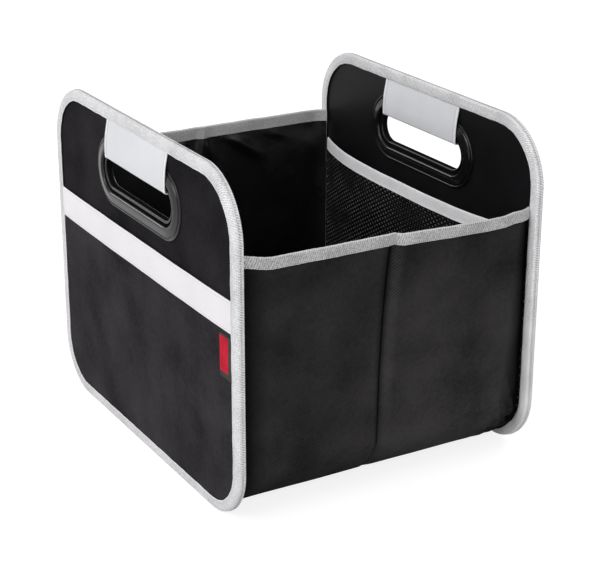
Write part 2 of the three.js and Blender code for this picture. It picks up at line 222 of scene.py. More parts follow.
def panel_points(side, depth, y, z):
    """Places in the room of points of an end panel: depth in from the panel's outer face, y and z.
    The right panel (side 1) is the left one (side -1) turned half round the upright axis."""
    depth, y, z = np.broadcast_arrays(depth, y, z)
    return np.stack([-side * (depth - HALF_LENGTH), -side * y, z], axis=-1)


def rounded_loop(corners, arc_steps, step):
    """A closed line through round corners, each a centre, a radius, a start angle and a turn, with the
    straight runs between them cut into steps. Gives the points and the directions that point out."""
    arcs = []
    for centre, radius, start, turn in corners:
        angle = start + np.linspace(0, turn, arc_steps + 1)
        away = np.stack([np.cos(angle), np.sin(angle)], axis=1)
        arcs.append((np.array(centre) + radius * away, away))
    lines = []
    aways = []
    for (line, away), (next_line, _) in zip(arcs, arcs[1:] + arcs[:1]):
        run = next_line[0] - line[-1]
        count = max(1, int(round(np.linalg.norm(run) / step)))
        share = np.linspace(0, 1, count + 1)[1:-1, None]
        lines += [line, line[-1] + share * run]
        aways += [away, np.repeat(away[-1:], len(share), axis=0)]
    return np.concatenate(lines), np.concatenate(aways)


def panel_outline(arc_steps, step):
    """The outline of a panel in y and z, from the lower right corner anticlockwise."""
    quarter = np.pi / 2
    low_y = HALF_WIDTH - BOTTOM_RADIUS
    high_y = HALF_WIDTH - TOP_RADIUS
    high_z = PANEL_HEIGHT - TOP_RADIUS
    corners = [
        ((low_y, BOTTOM_RADIUS), BOTTOM_RADIUS, -quarter, quarter),
        ((high_y, high_z), TOP_RADIUS, 0, quarter),
        ((-high_y, high_z), TOP_RADIUS, quarter, quarter),
        ((-low_y, BOTTOM_RADIUS), BOTTOM_RADIUS, 2 * quarter, quarter),
    ]
    return rounded_loop(corners, arc_steps, step)


def slot_outline(arc_steps, step):
    """The outline of the handle slot in y and z: two half turns joined by straight runs."""
    quarter = np.pi / 2
    right = ((SLOT_STRAIGHT, SLOT_Z), SLOT_RADIUS, -quarter, np.pi)
    left = ((-SLOT_STRAIGHT, SLOT_Z), SLOT_RADIUS, quarter, np.pi)
    return rounded_loop([right, left], arc_steps, step)


def running_length(line, closed=False):
    """Length run along a line of points, from 0. A closed line gets its full turn as one more value."""
    if closed:
        line = np.vstack([line, line[:1]])
    steps = np.linalg.norm(np.diff(line, axis=0), axis=1)
    return np.concatenate([[0], np.cumsum(steps)])


def at_lengths(lengths, run, values):
    """What a line's values are at given lengths along it."""
    return np.stack([np.interp(lengths, run, column) for column in values.T], axis=1)


def pattern_grid(along, across):
    """A grid of places in the weave from a length along and a length across."""
    return np.stack(np.meshgrid(along, across, indexing="ij"), axis=-1)


def side_of_path(path):
    """Unit vectors square to a path in a plane, a quarter turn clockwise from its direction."""
    direction = np.gradient(path, axis=0)
    direction /= np.linalg.norm(direction, axis=1, keepdims=True)
    return np.stack([direction[:, 1], -direction[:, 0]], axis=1)


def soft_path(corners, cuts, curve_steps, straight_steps):
    """A line through corner points whose corners are cut off and bridged by short curves: each curve is
    the quadratic blend of the point before, the corner and the point after it."""
    corners = np.array(corners, float)
    points = [corners[:1]]
    share = np.linspace(0, 1, curve_steps + 1)[:, None]
    between = np.linspace(0, 1, straight_steps + 1)[1:-1, None]

    def run_straight_to(place):
        last = points[-1][-1]
        points.append(last + between * (place - last))

    for before, corner, after, cut in zip(corners[:-2], corners[1:-1], corners[2:], cuts):
        start = corner + (before - corner) * cut / np.linalg.norm(before - corner)
        end = corner + (after - corner) * cut / np.linalg.norm(after - corner)
        run_straight_to(start)
        points.append((1 - share) ** 2 * start + 2 * share * (1 - share) * corner + share ** 2 * end)
    run_straight_to(corners[-1])
    return np.concatenate(points + [corners[-1:]])


def carried(side, line, away, path_out, path_depth):
    """A profile carried along a line of a panel: each point lies on the line, moved out by the profile's
    first value, at the depth of its second. Both may change from station to station."""
    y, z = (line[:, None, axis] + away[:, None, axis] * path_out for axis in range(2))
    return panel_points(side, path_depth, y, z)


def panel_sheet(side, y, z, depth, thick, pattern=None, closed=False):
    """A thin sheet of a panel: its outer skin lies at a depth, and its inner one lies thick behind it."""
    if pattern is None:
        pattern = np.stack([y, z], axis=-1)
    return shell(panel_points(side, depth, y, z), panel_points(side, depth + thick, y, z), pattern, closed)


STITCH_SIDES = 6
# Four stations of a stitch: how far along it they lie, how thick it is there and how high it arches
STITCH_SHARES = np.array([0, 0.22, 0.78, 1])
STITCH_GIRTHS = np.array([0.45, 1, 1, 0.45])
STITCH_LIFTS = np.array([0, 0.6, 0.6, 0])
STITCH_FILL = 0.62


def stitches(start, end, up, width, height):
    """Short raised threads from start to end points. Each is a six-sided tube of four stations, narrow at
    its ends, that arches towards up in the middle."""
    up = np.broadcast_to(np.asarray(up, float), start.shape)[:, None]
    direction = end - start
    direction = direction / np.linalg.norm(direction, axis=1, keepdims=True)
    across = np.cross(up[:, 0], direction)
    across /= np.linalg.norm(across, axis=1, keepdims=True)
    turn = np.arange(STITCH_SIDES) / STITCH_SIDES
    angle = 2 * np.pi * turn[:, None]
    lift = (STITCH_LIFTS * height)[:, None] * up
    centre = start[:, None] + STITCH_SHARES[:, None] * (end - start)[:, None] + lift
    ring = np.cos(angle) * across[:, None] * width / 2 + np.sin(angle) * up * height / 2
    points = centre[:, :, None] + STITCH_GIRTHS[:, None, None] * ring[:, None]
    number = np.arange(4 * STITCH_SIDES).reshape(4, STITCH_SIDES)
    turned = np.roll(number, -1, axis=1)
    sides = np.stack([number[:-1], turned[:-1], turned[1:], number[1:]], axis=-1).reshape(-1, 4)
    cap = np.array([[0, 3, 2, 1], [0, 5, 4, 3]])
    one = np.concatenate([sides, cap, cap[:, ::-1] + 3 * STITCH_SIDES])
    faces = (one[None] + 4 * STITCH_SIDES * np.arange(len(start))[:, None, None]).reshape(-1, 4)
    places = np.tile(pattern_grid(STITCH_SHARES, turn).reshape(-1, 2), (len(start), 1))
    return skin_of(points, faces, places[faces])


def thread_row(points, up, pitch, width, height):
    """A row of stitches along a line of points in the room: one every pitch, each a share of it long."""
    run = running_length(points)
    count = int(run[-1] // pitch)
    middle = (np.arange(count) + 0.5) * run[-1] / count
    half = STITCH_FILL * pitch / 2
    start, end = (at_lengths(middle + shift, run, points) for shift in (-half, half))
    return stitches(start, end, up, width, height)


# Materials

def set_input(node, socket, value):
    """Gives a node's input a value, or links it to another node's output."""
    if isinstance(value, bpy.types.NodeSocket):
        node.id_data.links.new(value, node.inputs[socket])
    else:
        node.inputs[socket].default_value = value


def make_node(tree, kind, inputs=None, **settings):
    """A node with its settings and its inputs."""
    node = tree.nodes.new(kind)
    for key, value in settings.items():
        setattr(node, key, value)
    for socket, value in (inputs or {}).items():
        set_input(node, socket, value)
    return node


def start_finish(name, roughness, specular=0.5, **constants):
    """A new material and its surface shader, with the values that are the same all over."""
    material = bpy.data.materials.new(name)
    material.use_nodes = True
    surface = material.node_tree.nodes["Principled BSDF"]
    set_input(surface, "Roughness", roughness)
    set_input(surface, "Specular IOR Level", specular)
    for socket, value in constants.items():
        set_input(surface, socket.replace("_", " "), value)
    return material, surface


def weave_place(surface):
    return make_node(surface.id_data, "ShaderNodeUVMap", uv_map="pattern").outputs["UV"]


def room_place(surface):
    return make_node(surface.id_data, "ShaderNodeTexCoord").outputs["Object"]


def parts_of(place):
    """The separate values X, Y and Z of a place."""
    return make_node(place.id_data, "ShaderNodeSeparateXYZ", {0: place}).outputs


def threads(place, pitch, direction, wobble=0.0, wobble_scale=1.5, start=0.0):
    """Even lines of threads, one every pitch metres, running square to the direction X or Y."""
    wave_turn = 2 * math.pi / 20
    inputs = {
        "Vector": place, "Scale": wave_turn / pitch, "Distortion": wobble, "Detail": 1.0,
        "Detail Scale": wobble_scale, "Phase Offset": start,
    }
    return make_node(place.id_data, "ShaderNodeTexWave", inputs, bands_direction=direction).outputs["Fac"]


def slanted(place, angle):
    """The place in the weave turned by an angle in degrees."""
    inputs = {"Vector": place, "Rotation": (0, 0, math.radians(angle))}
    return make_node(place.id_data, "ShaderNodeMapping", inputs).outputs["Vector"]


def cloud(place, size, detail=3.0):
    """Soft uneven patches about as large as size, in metres."""
    inputs = {"Vector": place, "Scale": 1 / size, "Detail": detail}
    return make_node(place.id_data, "ShaderNodeTexNoise", inputs).outputs["Fac"]


def calculate(operation, *values):
    """A step of arithmetic on values, of which one at least is a node's output."""
    tree = next(value.id_data for value in values if isinstance(value, bpy.types.NodeSocket))
    return make_node(tree, "ShaderNodeMath", dict(enumerate(values)), operation=operation).outputs[0]


def product(first, second, plus=None):
    """The product of two values, with a third one added if it is given."""
    if plus is None:
        return calculate("MULTIPLY", first, second)
    return calculate("MULTIPLY_ADD", first, second, plus)


def rescale(value, low, high, new_low, new_high):
    """The value brought from one range to another, and held within it."""
    inputs = {"Value": value, "From Min": low, "From Max": high, "To Min": new_low, "To Max": new_high}
    return make_node(value.id_data, "ShaderNodeMapRange", inputs).outputs["Result"]


def spread(clouds, low, high):
    """Clouds, whose values lie mostly between 0.3 and 0.7, brought to a range from low to high."""
    return rescale(clouds, 0.3, 0.7, low, high)


def blend_colours(factor, first, second):
    """The first colour at 0, the second at 1, and an even blend between."""
    inputs = {0: factor}
    for socket, colour in ((6, first), (7, second)):
        inputs[socket] = colour if isinstance(colour, bpy.types.NodeSocket) else (*colour, 1)
    return make_node(factor.id_data, "ShaderNodeMix", inputs, data_type="RGBA").outputs[2]


def raise_surface(surface, height, distance, strength=1.0, under=None):
    """Bumps the surface by a height map, over another bump if one is given."""
    inputs = {"Height": height, "Distance": distance, "Strength": strength}
    if under is not None:
        inputs["Normal"] = under
    bump = make_node(surface.id_data, "ShaderNodeBump", inputs).outputs["Normal"]
    set_input(surface, "Normal", bump)
    return bump


def plain_weave(place, pitch):
    """Height of a plain weave: warp and weft lines that take turns on top, square by square."""
    tree = place.id_data
    checker = make_node(tree, "ShaderNodeTexChecker", {"Vector": place, "Scale": 1 / pitch}).outputs["Fac"]
    inputs = {0: checker, 2: threads(place, pitch, "X"), 3: threads(place, pitch, "Y")}
    return make_node(tree, "ShaderNodeMix", inputs, data_type="FLOAT").outputs[0]


TWILL_SLANT = -13


def cloth_finish(
    name, dark, light, pitch, roughness, specular, relief, patch=0.05, slant=0, twill=0.0, painted_shade_and_light=None,
):
    """Woven cloth: thread lines in height and colour, soft large patches, and slight roughness changes.
    With a twill pitch, slanted lines run over the weave. A painted shade and light, if given, darkens and
    lightens the colour over the piece."""
    material, surface = start_finish(name, roughness, specular)
    place = slanted(weave_place(surface), slant)
    weave = plain_weave(place, pitch)
    if twill:
        lines = threads(slanted(weave_place(surface), TWILL_SLANT), twill, "Y", 0.4)
        weave = product(lines, 0.55, plus=product(weave, 0.45))
    patches = cloud(room_place(surface), patch)
    slubs = cloud(place, pitch * 2.5, 1.0)
    tone = product(weave, 0.6, plus=product(slubs, 0.25))
    tone = calculate("ADD", tone, spread(patches, -0.12, 0.28))
    colour = blend_colours(tone, dark, light)
    # Painted shade and light over the piece, where given
    if painted_shade_and_light:
        colour = painted_shade_and_light(surface, colour)
    set_input(surface, "Base Color", colour)
    set_input(surface, "Roughness", spread(patches, roughness - 0.06, roughness + 0.06))
    under = raise_surface(surface, patches, 0.0006, 0.3)
    raise_surface(surface, weave, relief, 1.0, under)
    return material


def tape_finish(name, dark, light, rib_pitch, slant, edge_width, tape_width, roughness, relief, fold=0.0):
    """Ribbed tape: ribs across it, paler woven edges, and a fine lengthwise thread. The pattern runs
    along the tape in its first value and across it in its second. A tape folded over an edge also gets a
    painted highlight within fold of its middle, where its fold would catch the light from above."""
    material, surface = start_finish(name, roughness, 0.2, Sheen_Weight=0.1, Sheen_Roughness=0.5)
    place = weave_place(surface)
    half = tape_width / 2
    ribs = threads(slanted(place, slant), rib_pitch, "X", 2.5, 0.4)
    cross = threads(place, rib_pitch * 0.8, "Y", 0.5)
    fuzz = cloud(place, 0.0018, 4.0)
    patches = cloud(room_place(surface), 0.02)
    from_middle = calculate("ABSOLUTE", calculate("SUBTRACT", parts_of(place)["Y"], half))
    edge = rescale(from_middle, half - edge_width, half - edge_width * 0.5, 0.0, 1.0)
    # Painted highlight along the fold in the tape's middle, where it would catch the light from above
    if fold:
        edge = calculate("MAXIMUM", edge, rescale(from_middle, fold * 0.5, fold, 1.0, 0.0))
    edge = product(edge, rescale(ribs, 0.0, 1.0, 0.6, 1.0))
    body = product(ribs, 0.42, plus=product(cross, 0.15))
    body = product(spread(fuzz, 0.0, 1.0), 0.45, plus=body)
    body = calculate("ADD", body, spread(patches, -0.18, 0.12))
    set_input(surface, "Base Color", blend_colours(calculate("MAXIMUM", body, edge), dark, light))
    under = raise_surface(surface, fuzz, relief, 0.5)
    raise_surface(surface, ribs, relief, 1.0, under)
    return material


def smooth_tape_finish(name, dark, light, thread_pitch, hem=0.0):
    """Close smooth tape: a faint lengthwise thread and broad soft patches. Past hem metres from its middle
    the tape is folded double, and a little paler behind a darker line."""
    material, surface = start_finish(name, 0.5, 0.4, Sheen_Weight=0.15)
    place = weave_place(surface)
    weave = plain_weave(place, thread_pitch)
    patches = cloud(room_place(surface), 0.04)
    colour = blend_colours(product(weave, 0.25, plus=spread(patches, 0.2, 0.75)), dark, light)
    if hem:
        past = calculate("SUBTRACT", calculate("ABSOLUTE", parts_of(place)["Y"]), hem)
        paler = tuple(min(1.25 * value, 0.92) for value in light)
        darker = tuple(0.45 * value for value in dark)
        colour = blend_colours(rescale(past, 0.0002, 0.0006, 0.0, 0.6), colour, paler)
        line = rescale(calculate("ABSOLUTE", past), 0.0001, 0.0004, 0.55, 0.0)
        colour = blend_colours(line, colour, darker)
    set_input(surface, "Base Color", colour)
    under = raise_surface(surface, patches, 0.0008, 0.25)
    raise_surface(surface, weave, 0.00006, 1.0, under)
    return material


def coated_finish():
    """Black film on the inside of the wall cloth: smooth gloss over faint wrinkles and the weave below."""
    material, surface = start_finish("coated_lining", 0.28, 0.5)
    patches = cloud(room_place(surface), 0.035)
    tone = spread(patches, 0.0, 1.0)
    black = blend_colours(tone, (0.0012, 0.0012, 0.0013), (0.0032, 0.0032, 0.0035))
    set_input(surface, "Base Color", black)
    set_input(surface, "Roughness", spread(patches, 0.2, 0.34))
    under = raise_surface(surface, patches, 0.002, 0.5)
    raise_surface(surface, plain_weave(weave_place(surface), 0.0012), 0.00005, 1.0, under)
    return material


def plastic_finish(name, gloss_low, gloss_high, specular):
    """Moulded black plastic: an even black with a faint uneven skin and soft changes in its gloss."""
    material, surface = start_finish(name, gloss_high, specular)
    place = room_place(surface)
    flow = cloud(place, 0.02)
    black = blend_colours(flow, (0.004, 0.004, 0.0045), (0.008, 0.008, 0.009))
    set_input(surface, "Base Color", black)
    set_input(surface, "Roughness", spread(flow, gloss_low, gloss_high))
    raise_surface(surface, cloud(place, 0.0012, 2.0), 0.00002, 0.6)
    return material


def net_finish(name, dark, light, steep):
    """Black net: each strand is rounded by a height map that follows the lattice of the net, and has a
    painted highlight, a pale dash, at its middle between two knots. The painted highlights fall on steep and
    shallow strands by turns, in soft patches."""
    material, surface = start_finish(name, 0.45, 0)
    place = weave_place(surface)
    start = math.pi * (1 - NET_STRAND / NET_PITCH)
    first, second = (threads(place, NET_PITCH * MM, direction, start=start) for direction in "XY")
    across, along = (second, first) if steep else (first, second)
    # Painted highlight: a pale dash in the middle of each strand between two knots
    painted_highlight_dash = product(rescale(across, 0.5, 0.95, 0.0, 1.0), rescale(along, 0.1, 0.8, 1.0, 0.0))
    # The painted highlights move between steep and shallow strands in soft patches
    least, most = (0.4, 1.2) if steep else (1.3, 0.3)
    patches = rescale(cloud(room_place(surface), 0.035), 0.42, 0.58, least, most)
    tone = product(product(painted_highlight_dash, patches), spread(cloud(place, 0.004), 0.6, 1.2))
    set_input(surface, "Base Color", blend_colours(tone, dark, light))
    raise_surface(surface, calculate("MAXIMUM", first, second), 0.0006)
    return material


def thread_finish(name, colour):
    """Sewing thread: fine uneven fibres."""
    material, surface = start_finish(name, 0.6, 0.3, Sheen_Weight=0.2)
    fibre = cloud(room_place(surface), 0.0008)
    darker = tuple(0.7 * value for value in colour)
    set_input(surface, "Base Color", blend_colours(fibre, darker, colour))
    raise_surface(surface, fibre, 0.0001, 0.6)
    return material


def board_finish():
    """Grey pressed board inside the panels: fibres and specks."""
    material, surface = start_finish("pressed_board", 0.9, 0.2)
    place = room_place(surface)
    fibres = cloud(place, 0.0015, 6.0)
    tone = product(fibres, 0.6, plus=product(cloud(place, 0.02), 0.4))
    set_input(surface, "Base Color", blend_colours(tone, (0.10, 0.096, 0.09), (0.20, 0.195, 0.18)))
    raise_surface(surface, fibres, 0.0001, 0.5)
    return material


NET_PITCH = 3.1
NET_STRAND = 1.15

cover_cloth = cloth_finish(
    "cover_cloth", (0.003, 0.0028, 0.0032), (0.041, 0.0381, 0.0422),
    pitch=0.0017, roughness=0.7, specular=0, relief=0.00016, patch=0.055, twill=0.0022,
)
pocket_cloth = cloth_finish(
    "pocket_cloth", (0.005, 0.0047, 0.0053), (0.073, 0.0683, 0.0748),
    pitch=0.0017, roughness=0.7, specular=0, relief=0.00016, patch=0.055, twill=0.0022,
)
lining_cloth = cloth_finish(
    "lining_cloth", (0.002, 0.0018, 0.0022), (0.0085, 0.0078, 0.009),
    pitch=0.0009, roughness=0.42, specular=0.07, relief=0.00004,
)
floor_weave = cloth_finish(
    "floor_weave", (0.004, 0.004, 0.0045), (0.020, 0.020, 0.021),
    pitch=0.0014, roughness=0.65, specular=0.1, relief=0.0001,
)
tag_red = cloth_finish(
    "tag_red", (0.24, 0.01, 0.02), (0.76, 0.022, 0.055),
    pitch=0.0022, roughness=0.7, specular=0.05, relief=0.0001, patch=0.01,
)
tag_grey = cloth_finish(
    "tag_grey", (0.028, 0.027, 0.025), (0.075, 0.072, 0.066),
    pitch=0.0014, roughness=0.8, specular=0.1, relief=0.00008, patch=0.01,
)
binding_tape = tape_finish(
    "binding_tape", (0.46, 0.455, 0.47), (0.97, 0.965, 0.98), rib_pitch=0.0018, slant=24,
    edge_width=0.0011, tape_width=0.0248, roughness=0.75, relief=0.00024,
)
mesh_band_tape = tape_finish(
    "mesh_band_tape", (0.66, 0.655, 0.67), (0.90, 0.895, 0.91), rib_pitch=0.0014, slant=10,
    edge_width=0.0010, tape_width=0.0215, roughness=0.75, relief=0.00012,
)
# Both wall tapes get a painted highlight along their folded top edge, through fold
wall_band_tape = tape_finish(
    "wall_band_tape", (0.14, 0.137, 0.143), (0.72, 0.715, 0.725), rib_pitch=0.0017, slant=22,
    edge_width=0.0012, tape_width=0.0195, roughness=0.8, relief=0.0003, fold=0.0016,
)
back_band_tape = tape_finish(
    "back_band_tape", (0.26, 0.255, 0.265), (0.56, 0.555, 0.565), rib_pitch=0.0016, slant=22,
    edge_width=0.0014, tape_width=0.0225, roughness=0.8, relief=0.0001, fold=0.0022,
)
PALE_GREY = ((0.66, 0.675, 0.70), (0.76, 0.775, 0.80))
grip_tape_cloth = smooth_tape_finish("grip_tape_cloth", *PALE_GREY, 0.0006, tape_high[1] * MM - 0.0033)
tab_cloth = smooth_tape_finish("tab_cloth", *PALE_GREY, 0.0006)
band_cloth = smooth_tape_finish("band_cloth", (0.81, 0.79, 0.82), (0.90, 0.88, 0.91), 0.0008)
coated_lining = coated_finish()
ring_plastic = plastic_finish("gloss_black_plastic", 0.13, 0.22, 0.27)
# Black without reflections for the ring's sleeve and groove: painted shade, so these hollows stay dark
shade_dull_plastic = plastic_finish("dull_black_plastic", 0.4, 0.55, 0)
# Both net materials carry painted highlights, brighter on the strands between knots
net_knots_faint_painted_highlight = net_finish("net_knots_faint_painted_highlight", (0.0007, 0.0007, 0.0008), (0.035, 0.035, 0.037), False)
net_strands_painted_highlight = net_finish("net_strands_painted_highlight", (0.001, 0.001, 0.0012), (0.21, 0.206, 0.214), True)
grey_thread = thread_finish("grey_thread", (0.36, 0.36, 0.37))
pale_thread = thread_finish("pale_thread", (0.72, 0.72, 0.74))
black_thread = thread_finish("black_thread", (0.02, 0.02, 0.021))
pressed_board = board_finish()


# End panels

def slotted_grid(rows=30):
    """Places on a panel between its slot and its outline: straight rays from the middle of the slot, each
    cut where it leaves the slot and where it meets the outline, and shared out evenly between."""
    line, away = panel_outline(arc_steps=16, step=7)
    middle = np.array([0, SLOT_Z])
    edge = line - LAYER_INSET * away
    ray = edge - middle
    length = np.linalg.norm(ray, axis=1)
    across = np.abs(ray[:, 0]) / length
    upward = np.maximum(np.abs(ray[:, 1]) / length, 1e-9)
    straight_reach = HOLE_RADIUS / upward
    round_reach = np.sqrt(np.maximum(HOLE_RADIUS ** 2 - (SLOT_STRAIGHT * upward) ** 2, 0))
    end_reach = SLOT_STRAIGHT * across + round_reach
    reach = np.where(straight_reach * across <= SLOT_STRAIGHT, straight_reach, end_reach)
    hole = middle + ray * (reach / length)[:, None]
    share = np.linspace(0, 1, rows)
    return hole[:, None] + share[:, None] * (edge - hole)[:, None], share


def slotted_cloth(side, depth, puff):
    """A cloth layer of a panel with the slot cut out. It lies flat at its edges and swells by puff, a sine
    of the share of the way out, on the open part above the pockets."""
    grid, share = slotted_grid()
    y, z = np.moveaxis(grid, -1, 0)
    swell = puff * np.sin(np.pi * share) * smooth_step((z - band_high[2] - 2) / 16)
    pattern = np.concatenate([grid, grid[:1]])
    return panel_sheet(side, y, z, depth - swell, CLOTH, pattern, closed=True)


def half_width_at(z):
    """Half the width of a layer at a height, inside the binding: full above the lower corners, and less by
    the quarter circle of the corner below."""
    radius = BOTTOM_RADIUS - LAYER_INSET
    below = np.clip(BOTTOM_RADIUS - z, 0, radius)
    return HALF_WIDTH - BOTTOM_RADIUS + np.sqrt(radius ** 2 - below ** 2)


def pocket_rows(top):
    """Heights for a layer that fills a panel's lower part: along the corner's quarter turn, then even."""
    radius = BOTTOM_RADIUS - LAYER_INSET
    turn = np.linspace(0, np.pi / 2, 14)
    return np.concatenate([BOTTOM_RADIUS - radius * np.cos(turn), np.linspace(BOTTOM_RADIUS, top, 30)[1:]])


POCKET_SWELL = 1.1


def pocket_swell(y, z):
    """How far the outer pocket stands off: nothing at its sides and foot, most at the middle of its mouth,
    with two faint upright puckers."""
    sides = np.clip(1 - (np.abs(y) / OPEN_EDGE_Y) ** 4, 0, 1)
    foot = smooth_step((z - 12) / 120)
    pucker = 0.18 * ripple(y + 0.3 * z, 90, 1.3) * smooth_step((z - 20) / 60)
    return sides * (POCKET_SWELL * foot + pucker)


def outer_pocket(side):
    """The flat pocket: a sheet from the foot of the panel up to its mouth, as wide as the panel there."""
    z = pocket_rows(band_high[2])[:, None]
    y, z = np.broadcast_arrays(np.linspace(-1, 1, 61) * half_width_at(z), z)
    return panel_sheet(side, y, z, SKIN_DEPTH - pocket_swell(y, z), CLOTH)


def pocket_band(side):
    """The band along the pocket's mouth: a strip with soft folded edges that follows the pocket."""
    fold = np.array([0, 0.25, 0.8, 1.8])
    width = band_high[2] - band_low[2]
    height = np.concatenate([fold, np.linspace(3, width - 3, 9), width - fold[::-1]])
    rounding = 0.35 * np.clip(1 - np.minimum(height, width - height) / 0.9, 0, 1) ** 2
    pattern = pattern_grid(np.linspace(-OPEN_EDGE_Y, OPEN_EDGE_Y, 81), height)
    y, height = np.moveaxis(pattern, -1, 0)
    z = band_low[2] + height
    swell = pocket_swell(y, z) + 0.12 * np.sin(np.pi * height / width)
    return panel_sheet(side, y, z, BAND_DEPTH + rounding - swell, CLOTH - rounding, pattern)


def band_stitching(side):
    """Two rows of thread that hold the band, near its lower and upper edges."""
    y = np.linspace(-OPEN_EDGE_Y + 1, OPEN_EDGE_Y - 1, 120)
    rows = []
    for z in (band_low[2] + 2.2, band_high[2] - 2.2):
        line = panel_points(side, BAND_DEPTH - (pocket_swell(y, z) + 0.08), y, z)
        rows.append(thread_row(line, (side, 0, 0), 3, width=0.35, height=0.16))
    return rows


FINE_OUTLINE = {"arc_steps": 28, "step": 4}
TICK_PITCH = 1.9
TICK_LEAN = 0.45
TICK_HALF = 0.85
LIP_STITCH_PITCH = 2.6
LIP_STITCH_INSET = 2.3
BINDING_ROUND = 2.6
BINDING_INNER_ROUND = 1.5
SEAM_DEPTH = 4.1
SEAM_HALF = 1.1
SEAM_DIP = 0.28


def binding_path():
    """Profile of the binding's outer skin: out and depth values from the edge of the outer lip, along the
    face, round the edge with the seam's groove in it, and back along the inner face."""
    quarter = np.linspace(0, np.pi / 2, 6)
    sine = np.sin(quarter)
    cosine = np.cos(quarter)
    outer, inner = BINDING_ROUND, BINDING_INNER_ROUND
    lip = np.array([[-LIP, 0.3], [-LIP + 0.35, 0.06], [-LIP + 1, 0], [-LIP + 3, -0.06], [-LIP + 5, -0.06]])
    corner = np.stack([-outer + outer * sine, outer - outer * cosine], axis=1)
    seam_depths = np.linspace(SEAM_DEPTH - SEAM_HALF, SEAM_DEPTH + SEAM_HALF, 9)
    dip = SEAM_DIP * 0.5 * (1 + np.cos(np.pi * (seam_depths - SEAM_DEPTH) / SEAM_HALF))
    seam = np.stack([-dip, seam_depths], axis=1)
    end_corner = np.stack([-inner + inner * cosine, PANEL_THICKNESS - inner + inner * sine], axis=1)
    end_lip = lip[::-1] * [1, -1] + [0, PANEL_THICKNESS]
    return np.concatenate([lip, corner, seam, end_corner, end_lip])


def panel_binding(side):
    """The binding tape: its profile carried round the whole outline, with a slightly uneven width."""
    line, away = panel_outline(**FINE_OUTLINE)
    run = running_length(line, closed=True)
    path = binding_path()
    inner_path = path - TAPE_WALL * side_of_path(path)
    turns = 2 * np.pi * run[:-1, None] / run[-1]
    uneven = 0.12 * np.sin(37 * turns + side) + 0.10 * np.sin(83 * turns + 2 * side)
    uneven = uneven * smooth_step((-path[:, 0] - 4) / 5)
    swell = 0.06 * np.sin(53 * turns) + 0.05 * np.sin(19 * turns + 1)
    facing = np.where(path[:, 1] < PANEL_THICKNESS / 2, -1, 1) * smooth_step((-path[:, 0] - 1) / 2)
    outer = carried(side, line, away, path[:, 0] + uneven, path[:, 1] + swell * facing)
    inner = carried(side, line, away, inner_path[:, 0] + uneven, inner_path[:, 1])
    return shell(outer, inner, pattern_grid(run, running_length(path)), closed=True)


def places_along_outline(pitch, shift):
    """Places and outward directions along a panel's outline, one every pitch or just under, each shifted
    along the line by a share of the pitch."""
    line, away = panel_outline(**FINE_OUTLINE)
    run = running_length(line, closed=True)
    count = int(run[-1] // pitch)
    lengths = ((np.arange(count) + shift) % count) * run[-1] / count
    return [at_lengths(lengths, run, np.vstack([values, values[:1]])) for values in (line, away)]


def binding_ticks(side):
    """Slanted thread in the seam round the panel's edge: parallel stitches across the seam, each a little
    further along at its far end."""
    place, out = places_along_outline(TICK_PITCH, 0)
    far_place, far_out = places_along_outline(TICK_PITCH, TICK_LEAN)
    lift = 0.03 - SEAM_DIP * 0.35
    near = panel_points(side, SEAM_DEPTH - TICK_HALF, *(place + out * lift).T)
    far = panel_points(side, SEAM_DEPTH + TICK_HALF, *(far_place + far_out * lift).T)
    up = np.stack([0 * out[:, 0], -side * out[:, 0], out[:, 1]], axis=1)
    return stitches(near, far, up, 0.5, 0.3)


def lip_stitching(side):
    """The thread that holds the binding: a row of stitches on each lip, near its inner edge. On the inner
    face it shows above the wall only."""
    place, out = places_along_outline(LIP_STITCH_PITCH, 0)
    far_place, far_out = places_along_outline(LIP_STITCH_PITCH, STITCH_FILL)
    inset = -LIP + LIP_STITCH_INSET
    skins = []
    for depth, facing, foot in ((-0.07, side, 0), (PANEL_THICKNESS + 0.07, -side, wall_high[2])):
        kept = place[:, 1] > foot
        near = panel_points(side, depth, *(place + out * inset)[kept].T)
        far = panel_points(side, depth, *(far_place + far_out * inset)[kept].T)
        skins.append(stitches(near, far, (facing, 0, 0), 0.42, 0.22))
    return skins


def crown(share, power):
    """A rounded hump over -1 to 1: the upper half of a squarish circle."""
    return (1 - np.abs(np.clip(share, -1, 1)) ** power) ** (1 / power)


# Profile of the grip ring: depths, and distances out from the slot's edge
RING_GROOVE = 1.25
BEAD_TOP = 0.35
BEAD_HALF = 1.2
RIDGE_OUT = 6.0
RIDGE_ROUND = 1.7
SLOPE_LENGTH = 6.3
SLOPE_END = -0.35
SLOPE_PART = 0.8
FINE_GROOVE = ((12.7, 0.35), (13.1, 0.62), (13.5, 0.55), (13.9, 0.2), (14.4, 0.15), (14.9, 0.25))


def ring_path():
    """Profile of the grip ring from its sleeve outwards: a rounded inner bead, a deep groove, a ridge with a
    quarter-round inner side and a long soft outer side, a fine groove and a thin rounded rim."""
    sleeve = [[0, PANEL_THICKNESS / 2 - GAP / 2], [0, 2.6], [0, 1.8]]
    bead = np.linspace(-1, 1, 13)
    bead_depth = RING_GROOVE - (RING_GROOVE - BEAD_TOP) * crown(bead, 2.4)
    groove = [[2.8, RING_GROOVE + 0.05], [3.7, RING_GROOVE + 0.05]]
    turn = np.linspace(0, np.pi / 2, 9)
    rise_depth = RING_GROOVE - (RING_GROOVE - RING_FACE) * np.sin(turn)
    slope = np.linspace(0, 1, 15)[1:]
    fallen = smooth_step(slope * SLOPE_PART) / smooth_step(SLOPE_PART)
    return np.concatenate([
        sleeve,
        np.stack([BEAD_HALF + BEAD_HALF * bead, bead_depth], axis=1),
        groove,
        np.stack([RIDGE_OUT - RIDGE_ROUND * np.cos(turn), rise_depth], axis=1),
        np.stack([RIDGE_OUT + SLOPE_LENGTH * slope, RING_FACE + (SLOPE_END - RING_FACE) * fallen], axis=1),
        FINE_GROOVE,
        [[15.3, 0.6], [FLANGE, 0.95], [FLANGE, RING_SEAT - 0.1]],
    ])


SLEEVE_STRIPS = 3
GROOVE_STRIPS = (13, 20)


